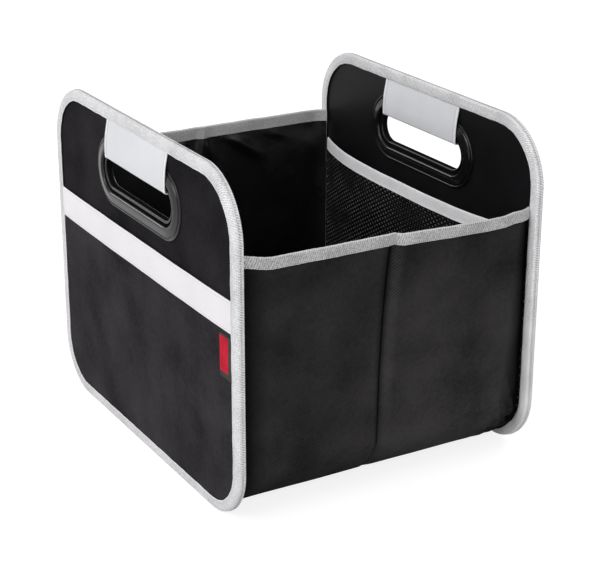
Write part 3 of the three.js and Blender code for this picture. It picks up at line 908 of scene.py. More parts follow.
def grip_ring(side, inner):
    """One half of the grip ring: its profile carried round the slot. The back of the flange is flat on the
    cloth, and the sleeve's outside stands off the hole. The sleeve and the groove are dull black without
    reflections, as painted shade that keeps these hollows dark; the rest is glossy."""
    line, away = slot_outline(arc_steps=32, step=4)
    run = running_length(line, closed=True)
    path = ring_path()
    out, depth = path.T
    in_sleeve = depth > RING_SEAT
    back_out = np.where(in_sleeve, RING_SLEEVE, np.clip(out, RING_SLEEVE, FLANGE - 0.1))
    back_depth = np.where(in_sleeve, depth, RING_SEAT)
    if inner:
        depth = PANEL_THICKNESS - depth
        back_depth = PANEL_THICKNESS - back_depth
    face = carried(side, line, away, out, depth)
    back = carried(side, line, away, back_out, back_depth)
    ring = shell(face, back, pattern_grid(run, running_length(path)), closed=True)
    strip = np.arange(len(path) - 1)
    # The sleeve and groove strips take the dull black as painted shade
    is_painted_shade = (strip < SLEEVE_STRIPS) | ((strip >= GROOVE_STRIPS[0]) & (strip < GROOVE_STRIPS[1]))
    ring["finish"][:len(line) * len(strip)] = np.tile(is_painted_shade, len(line))
    return ring


TAPE_PROUD = RING_FACE - GAP - CLOTH / 2
TAPE_TUCKED = SKIN_DEPTH + CLOTH / 2
TAPE_BOTTOM = tape_low[2] + CLOTH / 2


def tape_path():
    """Middle line of the grip tape in depth and height: from under the top binding, out over the ring,
    down, through the slot and back up the inner face."""
    leaf = [
        (TAPE_TUCKED, PANEL_HEIGHT - LAYER_INSET),
        (TAPE_TUCKED, PANEL_HEIGHT - LIP + 0.5),
        (TAPE_PROUD + 0.65, ring_high[2] - 0.5),
        (TAPE_PROUD, ring_high[2] - 9.5),
        (TAPE_PROUD, TAPE_BOTTOM),
    ]
    back = [(PANEL_THICKNESS - depth, z) for depth, z in reversed(leaf)]
    return soft_path(leaf + back, [2.5, 3.5, 3.5, 2.2, 2.2, 3.5, 3.5, 2.5], curve_steps=8, straight_steps=5)


def tape_columns():
    """Places across the grip tape, close together at its two folded hems."""
    half = tape_high[1]
    hem = half - np.array([0, 0.2, 0.6, 1.2, 2.0, 2.6, 3.0, 3.3, 3.8, 5.0])
    return np.concatenate([-hem, np.linspace(-half + 8, half - 8, 23), hem[::-1]])


def grip_tape(side):
    """The grip tape: its line carried across its width. The hems are a little thicker, with a crease where
    each ends, and the middle swells a little."""
    path = tape_path()
    y = tape_columns()
    half = tape_high[1]
    from_edge = half - np.abs(y)
    hem = 0.22 * smooth_step((3.1 - from_edge) / 0.5) * smooth_step(from_edge / 0.4 + 0.3)
    crease = -0.12 * np.exp(-((from_edge - 3.3) / 0.35) ** 2)
    along = running_length(path)
    turns = 2 * np.pi * along / along[-1]
    middle = 0.35 * np.cos(np.pi * np.clip(y / half, -1, 1) / 2) * np.sin(2 * turns)[:, None] ** 2
    normal = side_of_path(path)
    outward = normal if np.sum(normal[: len(path) // 4, 0]) < 0 else -normal

    def skin_at(offset):
        depth, z = (path[:, None, axis] + outward[:, None, axis] * offset for axis in range(2))
        return panel_points(side, depth, y, z)

    outer = skin_at(CLOTH / 2 + (hem + crease) + middle)
    inner = skin_at(np.full(len(y), -CLOTH / 2))
    return shell(outer, inner, pattern_grid(along, y))


def tape_stitching(side):
    """Thread on the grip tape's leaves: a row along each folded hem, on the tape's own line."""
    path = tape_path()
    top = np.argmax(path[:, 0] < TAPE_TUCKED - 0.05)
    foot = np.argmin(path[:, 1])
    depth, z = path[top:foot - 8].T
    depth = depth - CLOTH / 2 - 0.24
    rows = []
    for y in (-tape_high[1] + 2.4, tape_high[1] - 2.4):
        for leaf_depth, out in ((depth, side), (PANEL_THICKNESS - depth, -side)):
            line = panel_points(side, leaf_depth, y, z)
            rows.append(thread_row(line, (out, 0, 0), 2.4, width=0.4, height=0.24))
    return rows


# Mesh pocket

MESH_FREE_HALF = OPEN_EDGE_Y - 3
MESH_BULGE = 18
MESH_POWER = 3.2
MESH_BULGE_START = 20
MESH_LAYER_HALF = HALF_WIDTH - LAYER_INSET


def mesh_stand_off(y, z):
    """How far the mesh stands off the lining: it rises evenly from its foot to the foot of its band, and
    across the panel it is flat in the middle and falls to nothing at the free ends by a power."""
    rise = np.clip((z - MESH_BULGE_START) / (mesh_band_low[2] - MESH_BULGE_START), 0, 1)
    room = CLOTH + GAP
    share = np.clip(np.abs(y) / MESH_FREE_HALF, 0, 1)
    stand_off = rise * (room + (MESH_BULGE - room) * (1 - share ** MESH_POWER))
    return np.where(np.abs(y) > MESH_FREE_HALF + 1e-6, 0, stand_off)


def mesh_middle(y):
    """Depth of the middle of the mesh at its mouth."""
    return INNER_SKIN_DEPTH + mesh_stand_off(y, mesh_band_high[2]) + CLOTH / 2


NET_STEEP = math.radians(-46.6)
NET_SHALLOW = math.radians(28.7)
NET_STEP_STEEP = 3.4
NET_STEP_SHALLOW = 5.0
NET_INSET = 1.5


def mesh_net(side):
    """The net: a slanted lattice of strands on the pocket's curved sheet. Lines run along two slanted
    directions at every pitch and at a strand's width past it, and every second cell each way is a gap.
    Cells outside the pocket are left out, and the cut edges get walls."""
    ways = ((NET_STEEP, NET_STEP_STEEP), (NET_SHALLOW, NET_STEP_SHALLOW))
    steps = np.array([[step * math.cos(angle), step * math.sin(angle)] for angle, step in ways])
    reach = int(1.25 * (2 * MESH_LAYER_HALF + mesh_band_high[2]) / NET_STEP_STEEP / 2)
    whole = np.arange(-reach, reach + 1)
    lines = np.stack([whole, whole + NET_STRAND / NET_PITCH], axis=1).ravel()
    first, second = np.meshgrid(lines, lines, indexing="ij")
    centre = np.array([0, mesh_band_high[2] / 2])
    flat = centre + first[..., None] * steps[0] + second[..., None] * steps[1]
    cell_y, cell_z = np.moveaxis((flat[:-1, :-1] + flat[1:, 1:]) / 2, -1, 0)
    half = half_width_at(cell_z)
    inside = np.abs(cell_y / MESH_LAYER_HALF * half) < half - NET_INSET
    inside &= (cell_z > LAYER_INSET + NET_INSET) & (cell_z < mesh_band_high[2] - 2.5)
    odd = np.arange(len(lines) - 1) % 2 == 1
    kept = ~(odd[:, None] & odd) & inside
    size = len(lines)
    count = size * size
    address = np.arange(count).reshape(size, size)
    corners = np.stack([address[:-1, :-1], address[1:, :-1], address[1:, 1:], address[:-1, 1:]], axis=-1)
    faces = [corners[kept], corners[kept][:, ::-1] + count]
    between_knots = odd[:, None] & ~odd
    finishes = [between_knots[kept].astype(int)] * 2
    padded = np.pad(kept, 1)
    around = (
        (padded[1:-1, :-2], 0, 1), (padded[2:, 1:-1], 1, 2),
        (padded[1:-1, 2:], 2, 3), (padded[:-2, 1:-1], 3, 0),
    )
    for neighbour, start, end in around:
        rim = corners[kept & ~neighbour]
        begin = rim[:, start]
        finish = rim[:, end]
        faces.append(np.stack([finish, begin, begin + count, finish + count], axis=1))
        finishes.append(np.zeros(len(rim), int))
    faces = np.concatenate(faces)
    y, z = np.moveaxis(flat, -1, 0)
    depth = INNER_SKIN_DEPTH + mesh_stand_off(y, z)
    y = y / MESH_LAYER_HALF * half_width_at(z)
    skins = [panel_points(side, depth + behind, y, z).reshape(-1, 3) for behind in (0, CLOTH)]
    lattice = np.stack([first, second], axis=-1).reshape(-1, 2) * NET_PITCH
    used, new_number = np.unique(faces, return_inverse=True)
    new_faces = new_number.reshape(faces.shape)
    pattern = np.tile(lattice, (2, 1))[used][new_faces]
    return skin_of(np.concatenate(skins)[used], new_faces, pattern, np.concatenate(finishes))


def folded_path(held, tape, low, high):
    """Profile of a tape folded over an edge, as across and height values: up one side, over a rounded top
    and down the other. The first grid is its outside and the second its inside."""
    inside = held / 2 + GAP
    outside = inside + tape
    turn = np.linspace(np.pi, 0, 9)
    lift = np.array([0, 0.25, 0.7, 1.2, 1.8, 3, 5, 7, 8.2])
    lift = lift[lift < high - low - outside - 0.2]
    woven_edge = np.interp(lift, [0, 0.25, 0.7, 1.2, 1.8], [-0.3, 0.12, 0.2, 0.12, 0])
    swell = woven_edge + 0.12 * np.sin(np.pi * lift / (high - low))

    def fold_at(half, leaf):
        left = np.stack([-leaf, low + lift], axis=1)
        top = np.stack([half * np.cos(turn), high - outside + half * np.sin(turn)], axis=1)
        return np.concatenate([left, top, left[::-1] * [-1, 1]])

    return fold_at(outside, outside + swell), fold_at(inside, np.full(len(lift), inside))


def mesh_binding(side):
    """The tape over the mouth of the mesh pocket: a folded profile carried along the mesh's own line."""
    hem = np.array([0, 1, 2.5, 5])
    y = np.concatenate([-MESH_FREE_HALF + hem, np.linspace(-140, 140, 71), MESH_FREE_HALF - hem[::-1]])
    paths = folded_path(CLOTH, CLOTH, mesh_band_low[2], mesh_band_high[2])
    uneven = 0.15 * ripple(y, 60, 2.0)[:, None]
    skins = []
    for across, height in (path.T for path in paths):
        skins.append(panel_points(side, mesh_middle(y)[:, None] + across, y[:, None], height + uneven))
    return shell(*skins, pattern_grid(y, running_length(paths[0])))


def mesh_band_stitching(side):
    """A row of thread on each side of the mesh pocket's band, near its lower edge."""
    y = np.linspace(-MESH_FREE_HALF + 2, MESH_FREE_HALF - 2, 160)
    rows = []
    for way in (1, -1):
        depth = mesh_middle(y) + way * (CLOTH / 2 + GAP + CLOTH + 0.1)
        line = panel_points(side, depth, y, mesh_band_low[2] + 1.9)
        rows.append(thread_row(line, (-way * side, 0, 0), 3, width=0.35, height=0.2))
    return rows


def dress_panel(side, name):
    """All the pieces of one end panel."""
    def piece(suffix, skins, finishes, slot, *nodes, sharp_angle=38):
        nodes = [name + node for node in nodes]
        return add_piece(name + suffix, skins, finishes, name + "_panel", slot, nodes, sharp_angle)

    ring = [ring_plastic, shade_dull_plastic]
    cover_skin = slotted_cloth(side, COVER_DEPTH, 0.5)
    cover = piece("_cover_cloth", [cover_skin], [cover_cloth], "woven_cloth", "_panel_cover")
    lining_skin = slotted_cloth(side, LINING_DEPTH, -0.5)
    lining = piece("_lining_cloth", [lining_skin], [lining_cloth], "lining_cloth", "_panel_lining")
    piece("_binding_tape", [panel_binding(side)], [binding_tape], "binding_tape", "_panel_binding")
    piece("_seam_ticks", [binding_ticks(side)], [grey_thread], "binding_tape")
    piece("_binding_stitching", lip_stitching(side), [pale_thread], "binding_tape")
    piece("_ring_outer_half", [grip_ring(side, False)], ring, "ring_plastic", "_grip_ring_outer")
    piece("_ring_inner_half", [grip_ring(side, True)], ring, "ring_plastic", "_grip_ring_inner")
    piece("_grip_tape_cloth", [grip_tape(side)], [grip_tape_cloth], "grip_tape", "_grip_tape")
    piece("_grip_tape_stitching", tape_stitching(side), [pale_thread], "grip_tape")
    band = piece("_band_cloth", [pocket_band(side)], [band_cloth], "band_tape", "_pocket_band")
    pocket = piece("_pocket_cloth", [outer_pocket(side)], [pocket_cloth], "woven_cloth", "_outer_pocket")
    piece("_band_stitching", band_stitching(side), [pale_thread], "band_tape")
    net = [net_knots_faint_painted_highlight, net_strands_painted_highlight]
    piece("_mesh_net", [mesh_net(side)], net, "mesh_cloth", "_mesh_pocket", sharp_angle=30)
    piece("_mesh_band", [mesh_binding(side)], [mesh_band_tape], "binding_tape", "_mesh_binding")
    piece("_mesh_band_stitching", mesh_band_stitching(side), [pale_thread], "binding_tape")


SIDES = ((-1, "left"), (1, "right"))
for side, name in SIDES:
    dress_panel(side, name)


# Side tag on the left panel

# Widths of the dark border round the red field: left, foot, right and top
TAG_BORDERS = (4.4, 4.6, 0.5, 1.4)
TAG_FIELD_RISE = 0.18


def flat_label(low, high, depth, thick, edge):
    """A small label with softly rounded edges that follows the pocket below it. Its low and high corners
    are given in y and z."""
    inset = edge * np.array([0, 0.3, 0.7, 1])
    places = [
        np.concatenate([start + inset, np.linspace(start + 2 * edge, end - 2 * edge, 9), end - inset[::-1]])
        for start, end in zip(low, high)
    ]
    pattern = pattern_grid(*places)
    near_edge = np.minimum(pattern - low, high - pattern).min(axis=-1)
    rounding = 0.6 * thick * (1 - np.clip(near_edge / edge, 0, 1)) ** 2
    y, z = np.moveaxis(pattern, -1, 0)
    return panel_sheet(-1, y, z, depth + rounding - pocket_swell(y, z), thick - rounding)


tag_depth = tag_low[0] + HALF_LENGTH
tag_base = flat_label(tag_low[1:], tag_high[1:], tag_depth, CLOTH, 0.5)
tag_field = flat_label(
    tag_low[1:] + TAG_BORDERS[:2], tag_high[1:] - TAG_BORDERS[2:],
    tag_depth - TAG_FIELD_RISE, TAG_FIELD_RISE, 0.3,
)
add_piece("tag_base_cloth", [tag_base], [tag_grey], "left_panel", "tag_cloth", ["side_tag"])
add_piece("tag_red_field", [tag_field], [tag_red], "left_panel", "tag_cloth")


# Wall cloth and its bindings

CREASE_DEPTH = 7
CREASE_LEFT = 7
CREASE_LEFT_FOOT = 0.35
CREASE_RIGHT = 10
CREASE_FOOT = -9.4
CREASE_LEAN = 12.3
CREASE_BEND = 2.5
CREASE_UNDER_TAPE = 0.42
BACK_CREASE_SHARE = 0.4
END_TURN = 13
LOW_END_TURN = 24
FRONT_END_TURN = 5
FRONT_LOW_END_TURN = 7
BACK_END_TURN = 5.2
CORNER_TUCK = 3.4
FRONT_TAPE_RISE = 1.5
# Steps by which the front wall's top edge droops
LEFT_DROOP = 3.2
CREASE_DROOP = 2.2
RIGHT_DROOP = 1.6
LOW_FOLD_RISE = 2.5
# Painted shade and light on the wall cloth: widths in metres, and shares of light
LEFT_SHADE_START = 0.003
LEFT_SHADE_END = 0.020
LEFT_END_LIGHT = 0.3
RIGHT_SHADE_START = 0.004
RIGHT_SHADE_TOP = 0.007
RIGHT_SHADE_GAIN = 0.016
RIGHT_SHADE_FOOT = 0.012
RIGHT_END_LIGHT = 0.08
CREASE_SHADE = 0.8
LIT_STRIP = 0.7
LEFT_LIGHT = 0.34
LIGHT_GAIN = 0.44
# Folds in the back wall under its binding: start x and z, end x and z, half width and height
BACK_FOLDS = (
    (22, 203, 72, 166, 4.5, 3.0),
    (3, 203, 13, 168, 4.0, 2.2),
    (-14, 203, -34, 176, 4.5, 2.0),
    (60, 203, 96, 184, 4.0, 2.0),
)


def wall_columns():
    """Places along the box's length for the wall cloth, closer together at its ends and round the crease."""
    end = wall_high[0]
    at_end = np.array([0, 0.7, 1.6, 2.7, 4, 5.5, 7.5, 10, 13])
    near_crease = np.arange(-17, 16, 0.6)
    left = np.arange(-end + 16, -18, 2.6)
    right = np.arange(16.5, end - 14, 2.6)
    return np.concatenate([-end + at_end, left, near_crease, right, end - at_end[::-1]])


def crease_dent(x, z):
    """How far a wall is dented at its crease: a valley with a steep left side and a longer right one. It is
    deepest near the top, and its line bends to the right there by a power of the height."""
    up = np.clip(z / wall_high[2], 0, 1)
    from_line = x - (CREASE_FOOT + CREASE_LEAN * up ** CREASE_BEND)
    left_width = CREASE_LEFT * (CREASE_LEFT_FOOT + (1 - CREASE_LEFT_FOOT) * up)
    left = np.clip(1 + from_line / left_width, 0, 1) ** 1.1
    right = np.clip(1 - from_line / CREASE_RIGHT, 0, 1) ** 1.5
    return CREASE_DEPTH * (0.4 + 0.6 * up) * np.where(from_line < 0, left, right)


def held_by_tape(z):
    """The share of the crease that is left at a height: all of it below the tape, less under its fold."""
    return 1 - (1 - CREASE_UNDER_TAPE) * smooth_step((z - wall_band_low[2] - 0.5) / 8)


def end_dent(x, z, side):
    """How far a wall turns in towards the panels at both of its ends: a square of the share of the way.
    The front wall's right end turns in further and more widely lower down."""
    low = smooth_step((wall_high[2] - z) / wall_high[2]) * (x > 0) * (side < 0)
    width = END_TURN + (LOW_END_TURN - END_TURN) * low
    front = FRONT_END_TURN + (FRONT_LOW_END_TURN - FRONT_END_TURN) * low
    deepest = np.where(side < 0, front, BACK_END_TURN)
    return deepest * np.clip(1 - (wall_high[0] - np.abs(x)) / width, 0, 1) ** 2


def back_folds(x, z):
    """Pulled folds in the back wall: each a ridge, bell-shaped across its line, that fades to its end."""
    height = np.zeros(np.broadcast_shapes(x.shape, z.shape))
    for start_x, start_z, end_x, end_z, half, rise in BACK_FOLDS:
        run = np.array([end_x - start_x, end_z - start_z], float)
        length = np.hypot(*run)
        run /= length
        along = ((x - start_x) * run[0] + (z - start_z) * run[1]) / length
        across = (x - start_x) * run[1] - (z - start_z) * run[0]
        fade = smooth_step(along * 6 + 0.6) * (1 - smooth_step((along - 0.4) / 0.6))
        height = height + rise * fade * np.exp(-(across / half) ** 2)
    return height * smooth_step((wall_band_low[2] + 1 - z) / 9)


def wall_dent(x, z, away_y, away_z):
    """How far the wall cloth lies in from its even shape: the crease, the turn at both ends, slow slanting
    waves, the tuck along the lower corners, the back wall's folds, and bunched folds at the lower right
    corner of the front."""
    share = np.abs(away_y)
    from_end = wall_high[0] - np.abs(x)
    waves = 0.35 * ripple(x + 0.9 * z, 130, 0.7) + 0.25 * ripple(x - 0.7 * z, 85, 2.9)
    held = smooth_step(from_end / 25) * smooth_step((wall_high[2] - z) / 25)
    low_right = smooth_step((x - 86) / 22) * smooth_step((92 - z) / 50) * (away_y < 0)
    folds = LOW_FOLD_RISE * low_right * ripple(1.25 * x + 0.35 * z, 15, 1.1) * smooth_step(from_end / 6)
    tuck = CORNER_TUCK * (2 * away_y * away_z) ** 2 * smooth_step(from_end / 14)
    crease = crease_dent(x, z) * held_by_tape(z) * np.where(away_y > 0, BACK_CREASE_SHARE, 1)
    walls = crease + end_dent(x, z, away_y) + waves * held + folds + back_folds(x, z) * (away_y > 0)
    return share * walls + tuck


def top_droop(x):
    """How far the front wall's top edge hangs below its even height: it drops near its left end, steps
    down at the crease, sinks a little more to the right and comes up again at its right end."""
    left = LEFT_DROOP * smooth_step((x + wall_high[0] - 4) / 22)
    crease = CREASE_DROOP * smooth_step((x + 3) / 12)
    right = RIGHT_DROOP * smooth_step((x - 15) / 60) - RIGHT_DROOP * smooth_step((x - 96) / 14)
    return left + crease + right


def wall_line():
    """The wall cloth's section in y and z: down the front, round the lower corner, along the bottom, round
    the other corner and up the back, with the directions that point out."""
    quarter = np.linspace(0, np.pi / 2, 19)
    down = np.linspace(wall_high[2], BOTTOM_RADIUS, 75)[:-1]
    bottom = np.linspace(-WALL_CORNER_Y, WALL_CORNER_Y, 33)[1:-1]
    turn_away = np.stack([-np.cos(quarter), -np.sin(quarter)], axis=1)
    turn = np.array([-WALL_CORNER_Y, BOTTOM_RADIUS]) + WALL_RADIUS * turn_away
    front = np.stack([np.full(len(down), -WALL_OUTER_Y), down], axis=1)
    flat = np.stack([bottom, np.full(len(bottom), wall_low[2])], axis=1)
    half_line = np.concatenate([front, turn])
    half_away = np.concatenate([np.tile([-1.0, 0.0], (len(down), 1)), turn_away])
    line = np.concatenate([half_line, flat, half_line[::-1] * [-1, 1]])
    away = np.concatenate([half_away, np.tile([0.0, -1.0], (len(bottom), 1)), half_away[::-1] * [-1, 1]])
    return line, away


def wall_places(x, y, z):
    """Places in the room from lengths along the box and grids of y and z."""
    return np.stack(np.broadcast_arrays(x, y, z), axis=-1)


def wall_cloth():
    """The wall cloth: its section carried along the box, dented inwards by the crease and the waves, with
    the front's upper part lowered by the droop of its top edge."""
    line, away = wall_line()
    x = wall_columns()
    y, z = line.T[..., None]
    out_y, out_z = away.T[..., None]
    dent = wall_dent(x, z, out_y, out_z)
    lowered = top_droop(x) * smooth_step((z - 40) / 170) * (out_y < 0)
    skins = []
    for depth in (0, WALL_THICKNESS):
        skins.append(wall_places(x, y - out_y * (depth + dent), z - out_z * (depth + dent) - lowered))
    return shell(*skins, pattern_grid(running_length(line), x), inner_finish=1)


def wall_binding(side):
    """The tape over a wall's top edge (side -1 front, 1 back): a folded profile carried along the wall. It
    follows the wall's turns at its ends and its crease, which its outer leaf bridges."""
    x = wall_columns()[:, None]
    low = wall_band_low[2] + (FRONT_TAPE_RISE if side < 0 else 0)
    high = wall_band_high[2]
    paths = folded_path(WALL_THICKNESS, TAPE_WALL, low, high)
    dent = end_dent(x, high, side) + 0.35 * ripple(x, 120, 1.9 + side)
    uneven = 0.22 * ripple(x, 47, 0.4 + side) + 0.08 * np.sin(2 * np.pi * x / 5.3)
    lowered = top_droop(x) if side < 0 else 0
    skins = []
    for across, height in (path.T for path in paths):
        inner_leaf = smooth_step(0.5 - side * across / WALL_THICKNESS)
        kept = CREASE_UNDER_TAPE + (held_by_tape(height) - CREASE_UNDER_TAPE) * inner_leaf
        crease = crease_dent(x, height) * kept * (1 if side < 0 else BACK_CREASE_SHARE)
        y = side * (WALL_OUTER_Y - WALL_THICKNESS / 2 - dent - crease) + across
        skins.append(wall_places(x, y, height + (uneven - lowered)))
    return shell(*skins, pattern_grid(x[:, 0], running_length(paths[0])))


def fold_flat(piece):
    """Gives the piece its own copy of its mesh."""
    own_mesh(piece)


def painted_wall_shade(surface, colour):
    """Paints shade into the wall cloth's colour where it tucks in against the panels, more widely lower down
    at its right end, and on the steep side of its creases; paints a highlight just past the crease, and
    light that grows towards the wall's lower right. The pattern's first value runs down the front wall,
    along the bottom and up the back wall, and its second one runs along the box."""
    place = parts_of(weave_place(surface))
    run = place["X"]
    along = place["Y"]
    end = wall_high[0] * MM
    from_top = calculate("MINIMUM", run, calculate("SUBTRACT", wall_run * MM, run))
    down = calculate("MINIMUM", calculate("DIVIDE", from_top, wall_high[2] * MM), 1.0)
    # Painted shade at both ends, where the cloth tucks in against the panels; wider and darker lower down at
    # the right end
    left = rescale(along, LEFT_SHADE_START - end, LEFT_SHADE_END - end, LEFT_END_LIGHT, 1.0)
    room = calculate("SUBTRACT", end - RIGHT_SHADE_START, along)
    width = product(down, RIGHT_SHADE_GAIN, plus=RIGHT_SHADE_TOP)
    width = calculate("ADD", width, rescale(down, 0.72, 0.95, 0.0, RIGHT_SHADE_FOOT))
    # An uneven edge for the painted shade at the right end, lower down over the bunched folds
    fold_shade_wobble = rescale(cloud(room_place(surface), 0.006), 0.35, 0.65, -0.25, 0.25)
    fold_shade_wobble = product(fold_shade_wobble, rescale(down, 0.72, 0.9, 0.0, 1.0))
    share = calculate("ADD", calculate("DIVIDE", room, width), fold_shade_wobble)
    right = rescale(share, 0.0, 1.0, RIGHT_END_LIGHT, 1.0)
    # Painted shade on the crease's steep side and a painted highlight just past it, nearer the top, along a
    # line that bends as crease_dent's does
    lean = calculate("POWER", calculate("SUBTRACT", 1.0, down), CREASE_BEND)
    from_line = calculate("SUBTRACT", along, product(lean, CREASE_LEAN * MM, plus=CREASE_FOOT * MM))
    side_width = product(down, (CREASE_LEFT_FOOT - 1) * CREASE_LEFT * MM, plus=CREASE_LEFT * MM)
    across = calculate("DIVIDE", from_line, side_width)
    shade = product(rescale(across, -1.7, -0.5, 0.0, 1.0), rescale(across, -0.1, 0.12, 1.0, 0.0))
    lit = product(rescale(from_line, 0.0005, 0.002, 0.0, 1.0), rescale(from_line, 0.004, 0.009, 1.0, 0.0))
    lit = product(lit, rescale(down, 0.0, 1.0, LIT_STRIP, 0.0))
    crease = product(shade, -CREASE_SHADE, plus=calculate("ADD", lit, 1.0))
    # Painted light over the wall: darker at its top left, paler towards its lower right
    level = product(product(down, rescale(along, -end, end, 0.0, 1.0)), LIGHT_GAIN, plus=LEFT_LIGHT)
    light = product(product(product(left, right), level), crease)
    return blend_colours(light, (0, 0, 0), colour)


wall_run = running_length(wall_line()[0])[-1]
# Its colours are set high, as the wall's painted shade and light darken them all over
wall_weave = cloth_finish(
    "wall_weave", (0.0098, 0.0093, 0.0098), (0.132, 0.1257, 0.132),
    pitch=0.0016, roughness=0.6, specular=0, relief=0.00012, slant=38, painted_shade_and_light=painted_wall_shade,
)
wall = add_piece(
    "wall_fabric", [wall_cloth()], [wall_weave, coated_lining], "left_panel", "wall_cloth", ["wall_cloth"],
)
fold_flat(wall)
for side, name, finish in ((-1, "front", wall_band_tape), (1, "back", back_band_tape)):
    fold_flat(add_piece(
        name + "_wall_tape", [wall_binding(side)], [finish], "left_panel", "wall_binding_tape",
        [name + "_wall_binding"],
    ))


# Floor

FLOOR_CORNER = 4
SEWN_INSET = 7


def border_places(low, high, count):
    """Places from low to high, close together within the rounded edge."""
    near = FLOOR_CORNER * (1 - np.cos(np.linspace(0, np.pi / 2, 7)))
    middle = np.linspace(low + FLOOR_CORNER, high - FLOOR_CORNER, count)[1:-1]
    return np.concatenate([low + near, middle, high - near[::-1]])


def floor_corners(side):
    """The low and high corner of a floor board in x and y, with its borders taken as even."""
    ends = (floor_low[0], floor_high[0]) if side > 0 else (-floor_high[0], -floor_low[0])
    return np.array([[ends[0], -floor_high[1]], [ends[1], floor_high[1]]])


def floor_board(side):
    """A board wrapped in cloth: a rectangle whose corners are round in plan and whose edges are half
    round in section, with a shallow sewn channel near its border and a slight crown."""
    low, high = floor_corners(side)
    place = pattern_grid(border_places(low[0], high[0], 40), border_places(low[1], high[1], 70))
    core = np.clip(place, low + FLOOR_CORNER, high - FLOOR_CORNER)
    off = place - core
    reach = np.abs(off).max(axis=-1)
    rounded = core + off / np.maximum(np.hypot(off[..., 0], off[..., 1]), 1e-9)[..., None] * reach[..., None]
    half_thick = (floor_high[2] - floor_low[2]) / 2
    inward = np.clip((FLOOR_CORNER - reach) / half_thick, 0, 1)
    profile = np.sqrt(1 - (1 - inward) ** 2)
    from_border = np.minimum(place - low, high - place).min(axis=-1)
    channel = 0.45 * np.exp(-((from_border - SEWN_INSET) / 0.9) ** 2)
    puff = 0.25 * ripple(place[..., 0] + 0.4 * place[..., 1], 70, 1.0) * smooth_step((from_border - 10) / 20)
    crown_height = 0.3 * profile * smooth_step(from_border / 20)
    middle = (floor_high[2] + floor_low[2]) / 2
    top = middle + (half_thick - 0.3) * profile + crown_height - channel + puff * 0.4
    skins = [np.dstack([rounded, height]) for height in (top, middle - half_thick * profile)]
    return shell(*skins, rounded)


def sewn_lines(lines, height, count, pitch, thick):
    """Rows of thread on a flat cloth, each from a start to an end given in x and y."""
    rows = []
    for start, end in lines:
        share = np.linspace(0, 1, count)[:, None]
        line = np.array(start) + share * (np.array(end) - np.array(start))
        points = np.column_stack([line, np.full(count, height)])
        rows.append(thread_row(points, (0, 0, 1), pitch, width=0.5, height=thick))
    return rows


def floor_stitching(side):
    """Thread in the sewn channel round a floor board."""
    (low_x, low_y), (high_x, high_y) = floor_corners(side) + np.array([[SEWN_INSET], [-SEWN_INSET]])
    corners = [(low_x, low_y), (high_x, low_y), (high_x, high_y), (low_x, high_y), (low_x, low_y)]
    return sewn_lines(zip(corners[:-1], corners[1:]), floor_high[2] - 0.62, 30, 3.2, 0.35)


def pull_tab():
    """The pull tab: a flat strap with a round end, its width the half circle's there."""
    radius = tab_high[1]
    round_x = tab_low[0] + radius
    turn = np.linspace(0.12, np.pi / 2, 12)
    x = np.concatenate([round_x - radius * np.cos(turn), np.linspace(round_x, tab_high[0], 24)[1:]])
    half = np.where(x < round_x, np.sqrt(np.maximum(radius ** 2 - (round_x - x) ** 2, 0)), radius)
    share = np.sin(np.linspace(-np.pi / 2, np.pi / 2, 21))
    y = half[:, None] * share
    x = np.broadcast_to(x[:, None], y.shape)
    edge = np.clip((1 - np.abs(share)) * 12, 0, 1)
    bottom = tab_low[2] + 0.9 * smooth_step((tab_high[0] - x - 16) / 18)
    top = bottom + (tab_high[2] - tab_low[2]) * (0.55 + 0.45 * np.sqrt(edge))
    return shell(np.dstack([x, y, top]), np.dstack([x, y, bottom]), np.dstack([x, y]))


def tab_stitching():
    """A sewn square with its two diagonals where the tab is fixed to the floor."""
    high_x = tab_high[0] - 2.5
    low_x = high_x - 13
    half = tab_high[1] - 3
    corners = {"a": (low_x, -half), "b": (high_x, -half), "c": (high_x, half), "d": (low_x, half)}
    lines = [(corners[start], corners[end]) for start, end in ("ab", "bc", "cd", "da", "ac", "bd")]
    return sewn_lines(lines, tab_high[2] + 0.05, 12, 2.4, 0.3)


for side, name in SIDES:
    body = "floor_" + name
    board = [floor_board(side)]
    add_piece(name + "_floor_cover", board, [floor_weave], body, "floor_cloth", ["floor_board_" + name])
    add_piece(name + "_floor_stitching", floor_stitching(side), [black_thread], body, "floor_cloth")
add_piece("pull_tab_cloth", [pull_tab()], [tab_cloth], "floor_left", "grip_tape", ["floor_pull_tab"])
add_piece("pull_tab_stitching", tab_stitching(), [pale_thread], "floor_left", "grip_tape")

for name in ("left_panel_board", "right_panel_board"):
    for board_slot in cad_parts[name].material_slots:
        board_slot.material = pressed_board


# Room, lamps and camera

def white_for_viewer(tree):
    """1 for rays from the camera, off gloss and through glass, and 0 for the light on the object."""
    path = make_node(tree, "ShaderNodeLightPath").outputs
    seen = calculate("MAXIMUM", path["Is Camera Ray"], path["Is Glossy Ray"])
    return calculate("MAXIMUM", seen, path["Is Transmission Ray"])


def make_world(light_level):
    """White to the viewer and in reflections, and an even plain light on the object."""
    world = bpy.data.worlds.new("room")
    world.use_nodes = True
    tree = world.node_tree
    colour = blend_colours(white_for_viewer(tree), [light_level] * 3, (1, 1, 1))
    set_input(tree.nodes["Background"], "Color", colour)
    bpy.context.scene.world = world


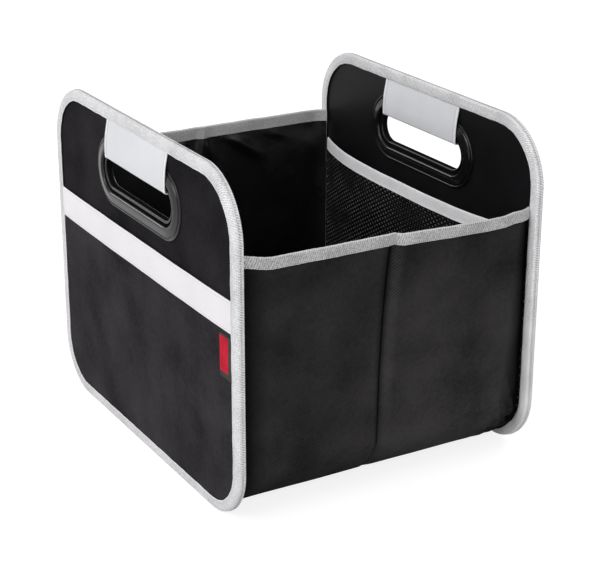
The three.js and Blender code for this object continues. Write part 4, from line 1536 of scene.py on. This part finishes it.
def make_floor(whiteness, glow_strength):
    """A pale floor that shows white and keeps a soft shadow."""
    mesh = bpy.data.meshes.new("room_floor")
    corners = [(6 * x, 6 * y, 0) for x, y in ((-1, -1), (1, -1), (1, 1), (-1, 1))]
    mesh.from_pydata(corners, [], [range(4)])
    material, surface = start_finish("pale_floor", 1, 0, Base_Color=(0.75, 0.75, 0.75, 1))
    tree = material.node_tree
    glow = make_node(tree, "ShaderNodeEmission", {"Color": (1, 1, 1, 1), "Strength": glow_strength})
    share = product(white_for_viewer(tree), whiteness)
    mixer = make_node(tree, "ShaderNodeMixShader", {0: share, 1: surface.outputs[0], 2: glow.outputs[0]})
    set_input(tree.nodes["Material Output"], "Surface", mixer.outputs[0])
    mesh.materials.append(material)
    put_in_scene("room_floor", mesh)


def make_lamp(name, place, size, power):
    """A soft square lamp that points at the middle of the box."""
    lamp = bpy.data.lights.new(name, "AREA")
    lamp.size = size
    lamp.energy = power
    holder = put_in_scene(name, lamp)
    holder.location = place
    direction = Vector((0, 0, PANEL_HEIGHT * MM / 2)) - holder.location
    holder.rotation_euler = direction.to_track_quat("-Z", "Y").to_euler()


def make_camera():
    """The camera at the photograph's place: from the front left, looking down a little."""
    camera = bpy.data.cameras.new("camera")
    camera.sensor_width = 36
    camera.lens = 99.95
    holder = put_in_scene("camera", camera)
    holder.location = (-0.6297, -1.1063, 0.6080)
    yaw = math.radians(30.08)
    pitch = math.radians(21.18)
    roll = math.radians(0.12)
    turn = Euler((math.pi / 2 - pitch, 0, -yaw)).to_matrix() @ Matrix.Rotation(roll, 3, "Z")
    holder.rotation_euler = turn.to_euler()
    bpy.context.scene.camera = holder


make_world(0.3)
make_floor(0.6, 1.38)
# Each lamp's name, place, size and power
for lamp in (
    ("key_lamp", (-2.8, -0.93, 2.35), 2.1, 70),
    ("fill_lamp", (-0.5, -2.1, 1.0), 1.4, 13),
    ("top_lamp", (0.2, 0.5, 2.3), 1.2, 4),
    ("back_lamp", (-1.6, 3.0, 1.6), 1.2, 28),
    ("right_lamp", (2.8, 0.6, 2.0), 2.0, 48),
):
    make_lamp(*lamp)
make_camera()

bpy.context.scene.view_settings.view_transform = "Standard"
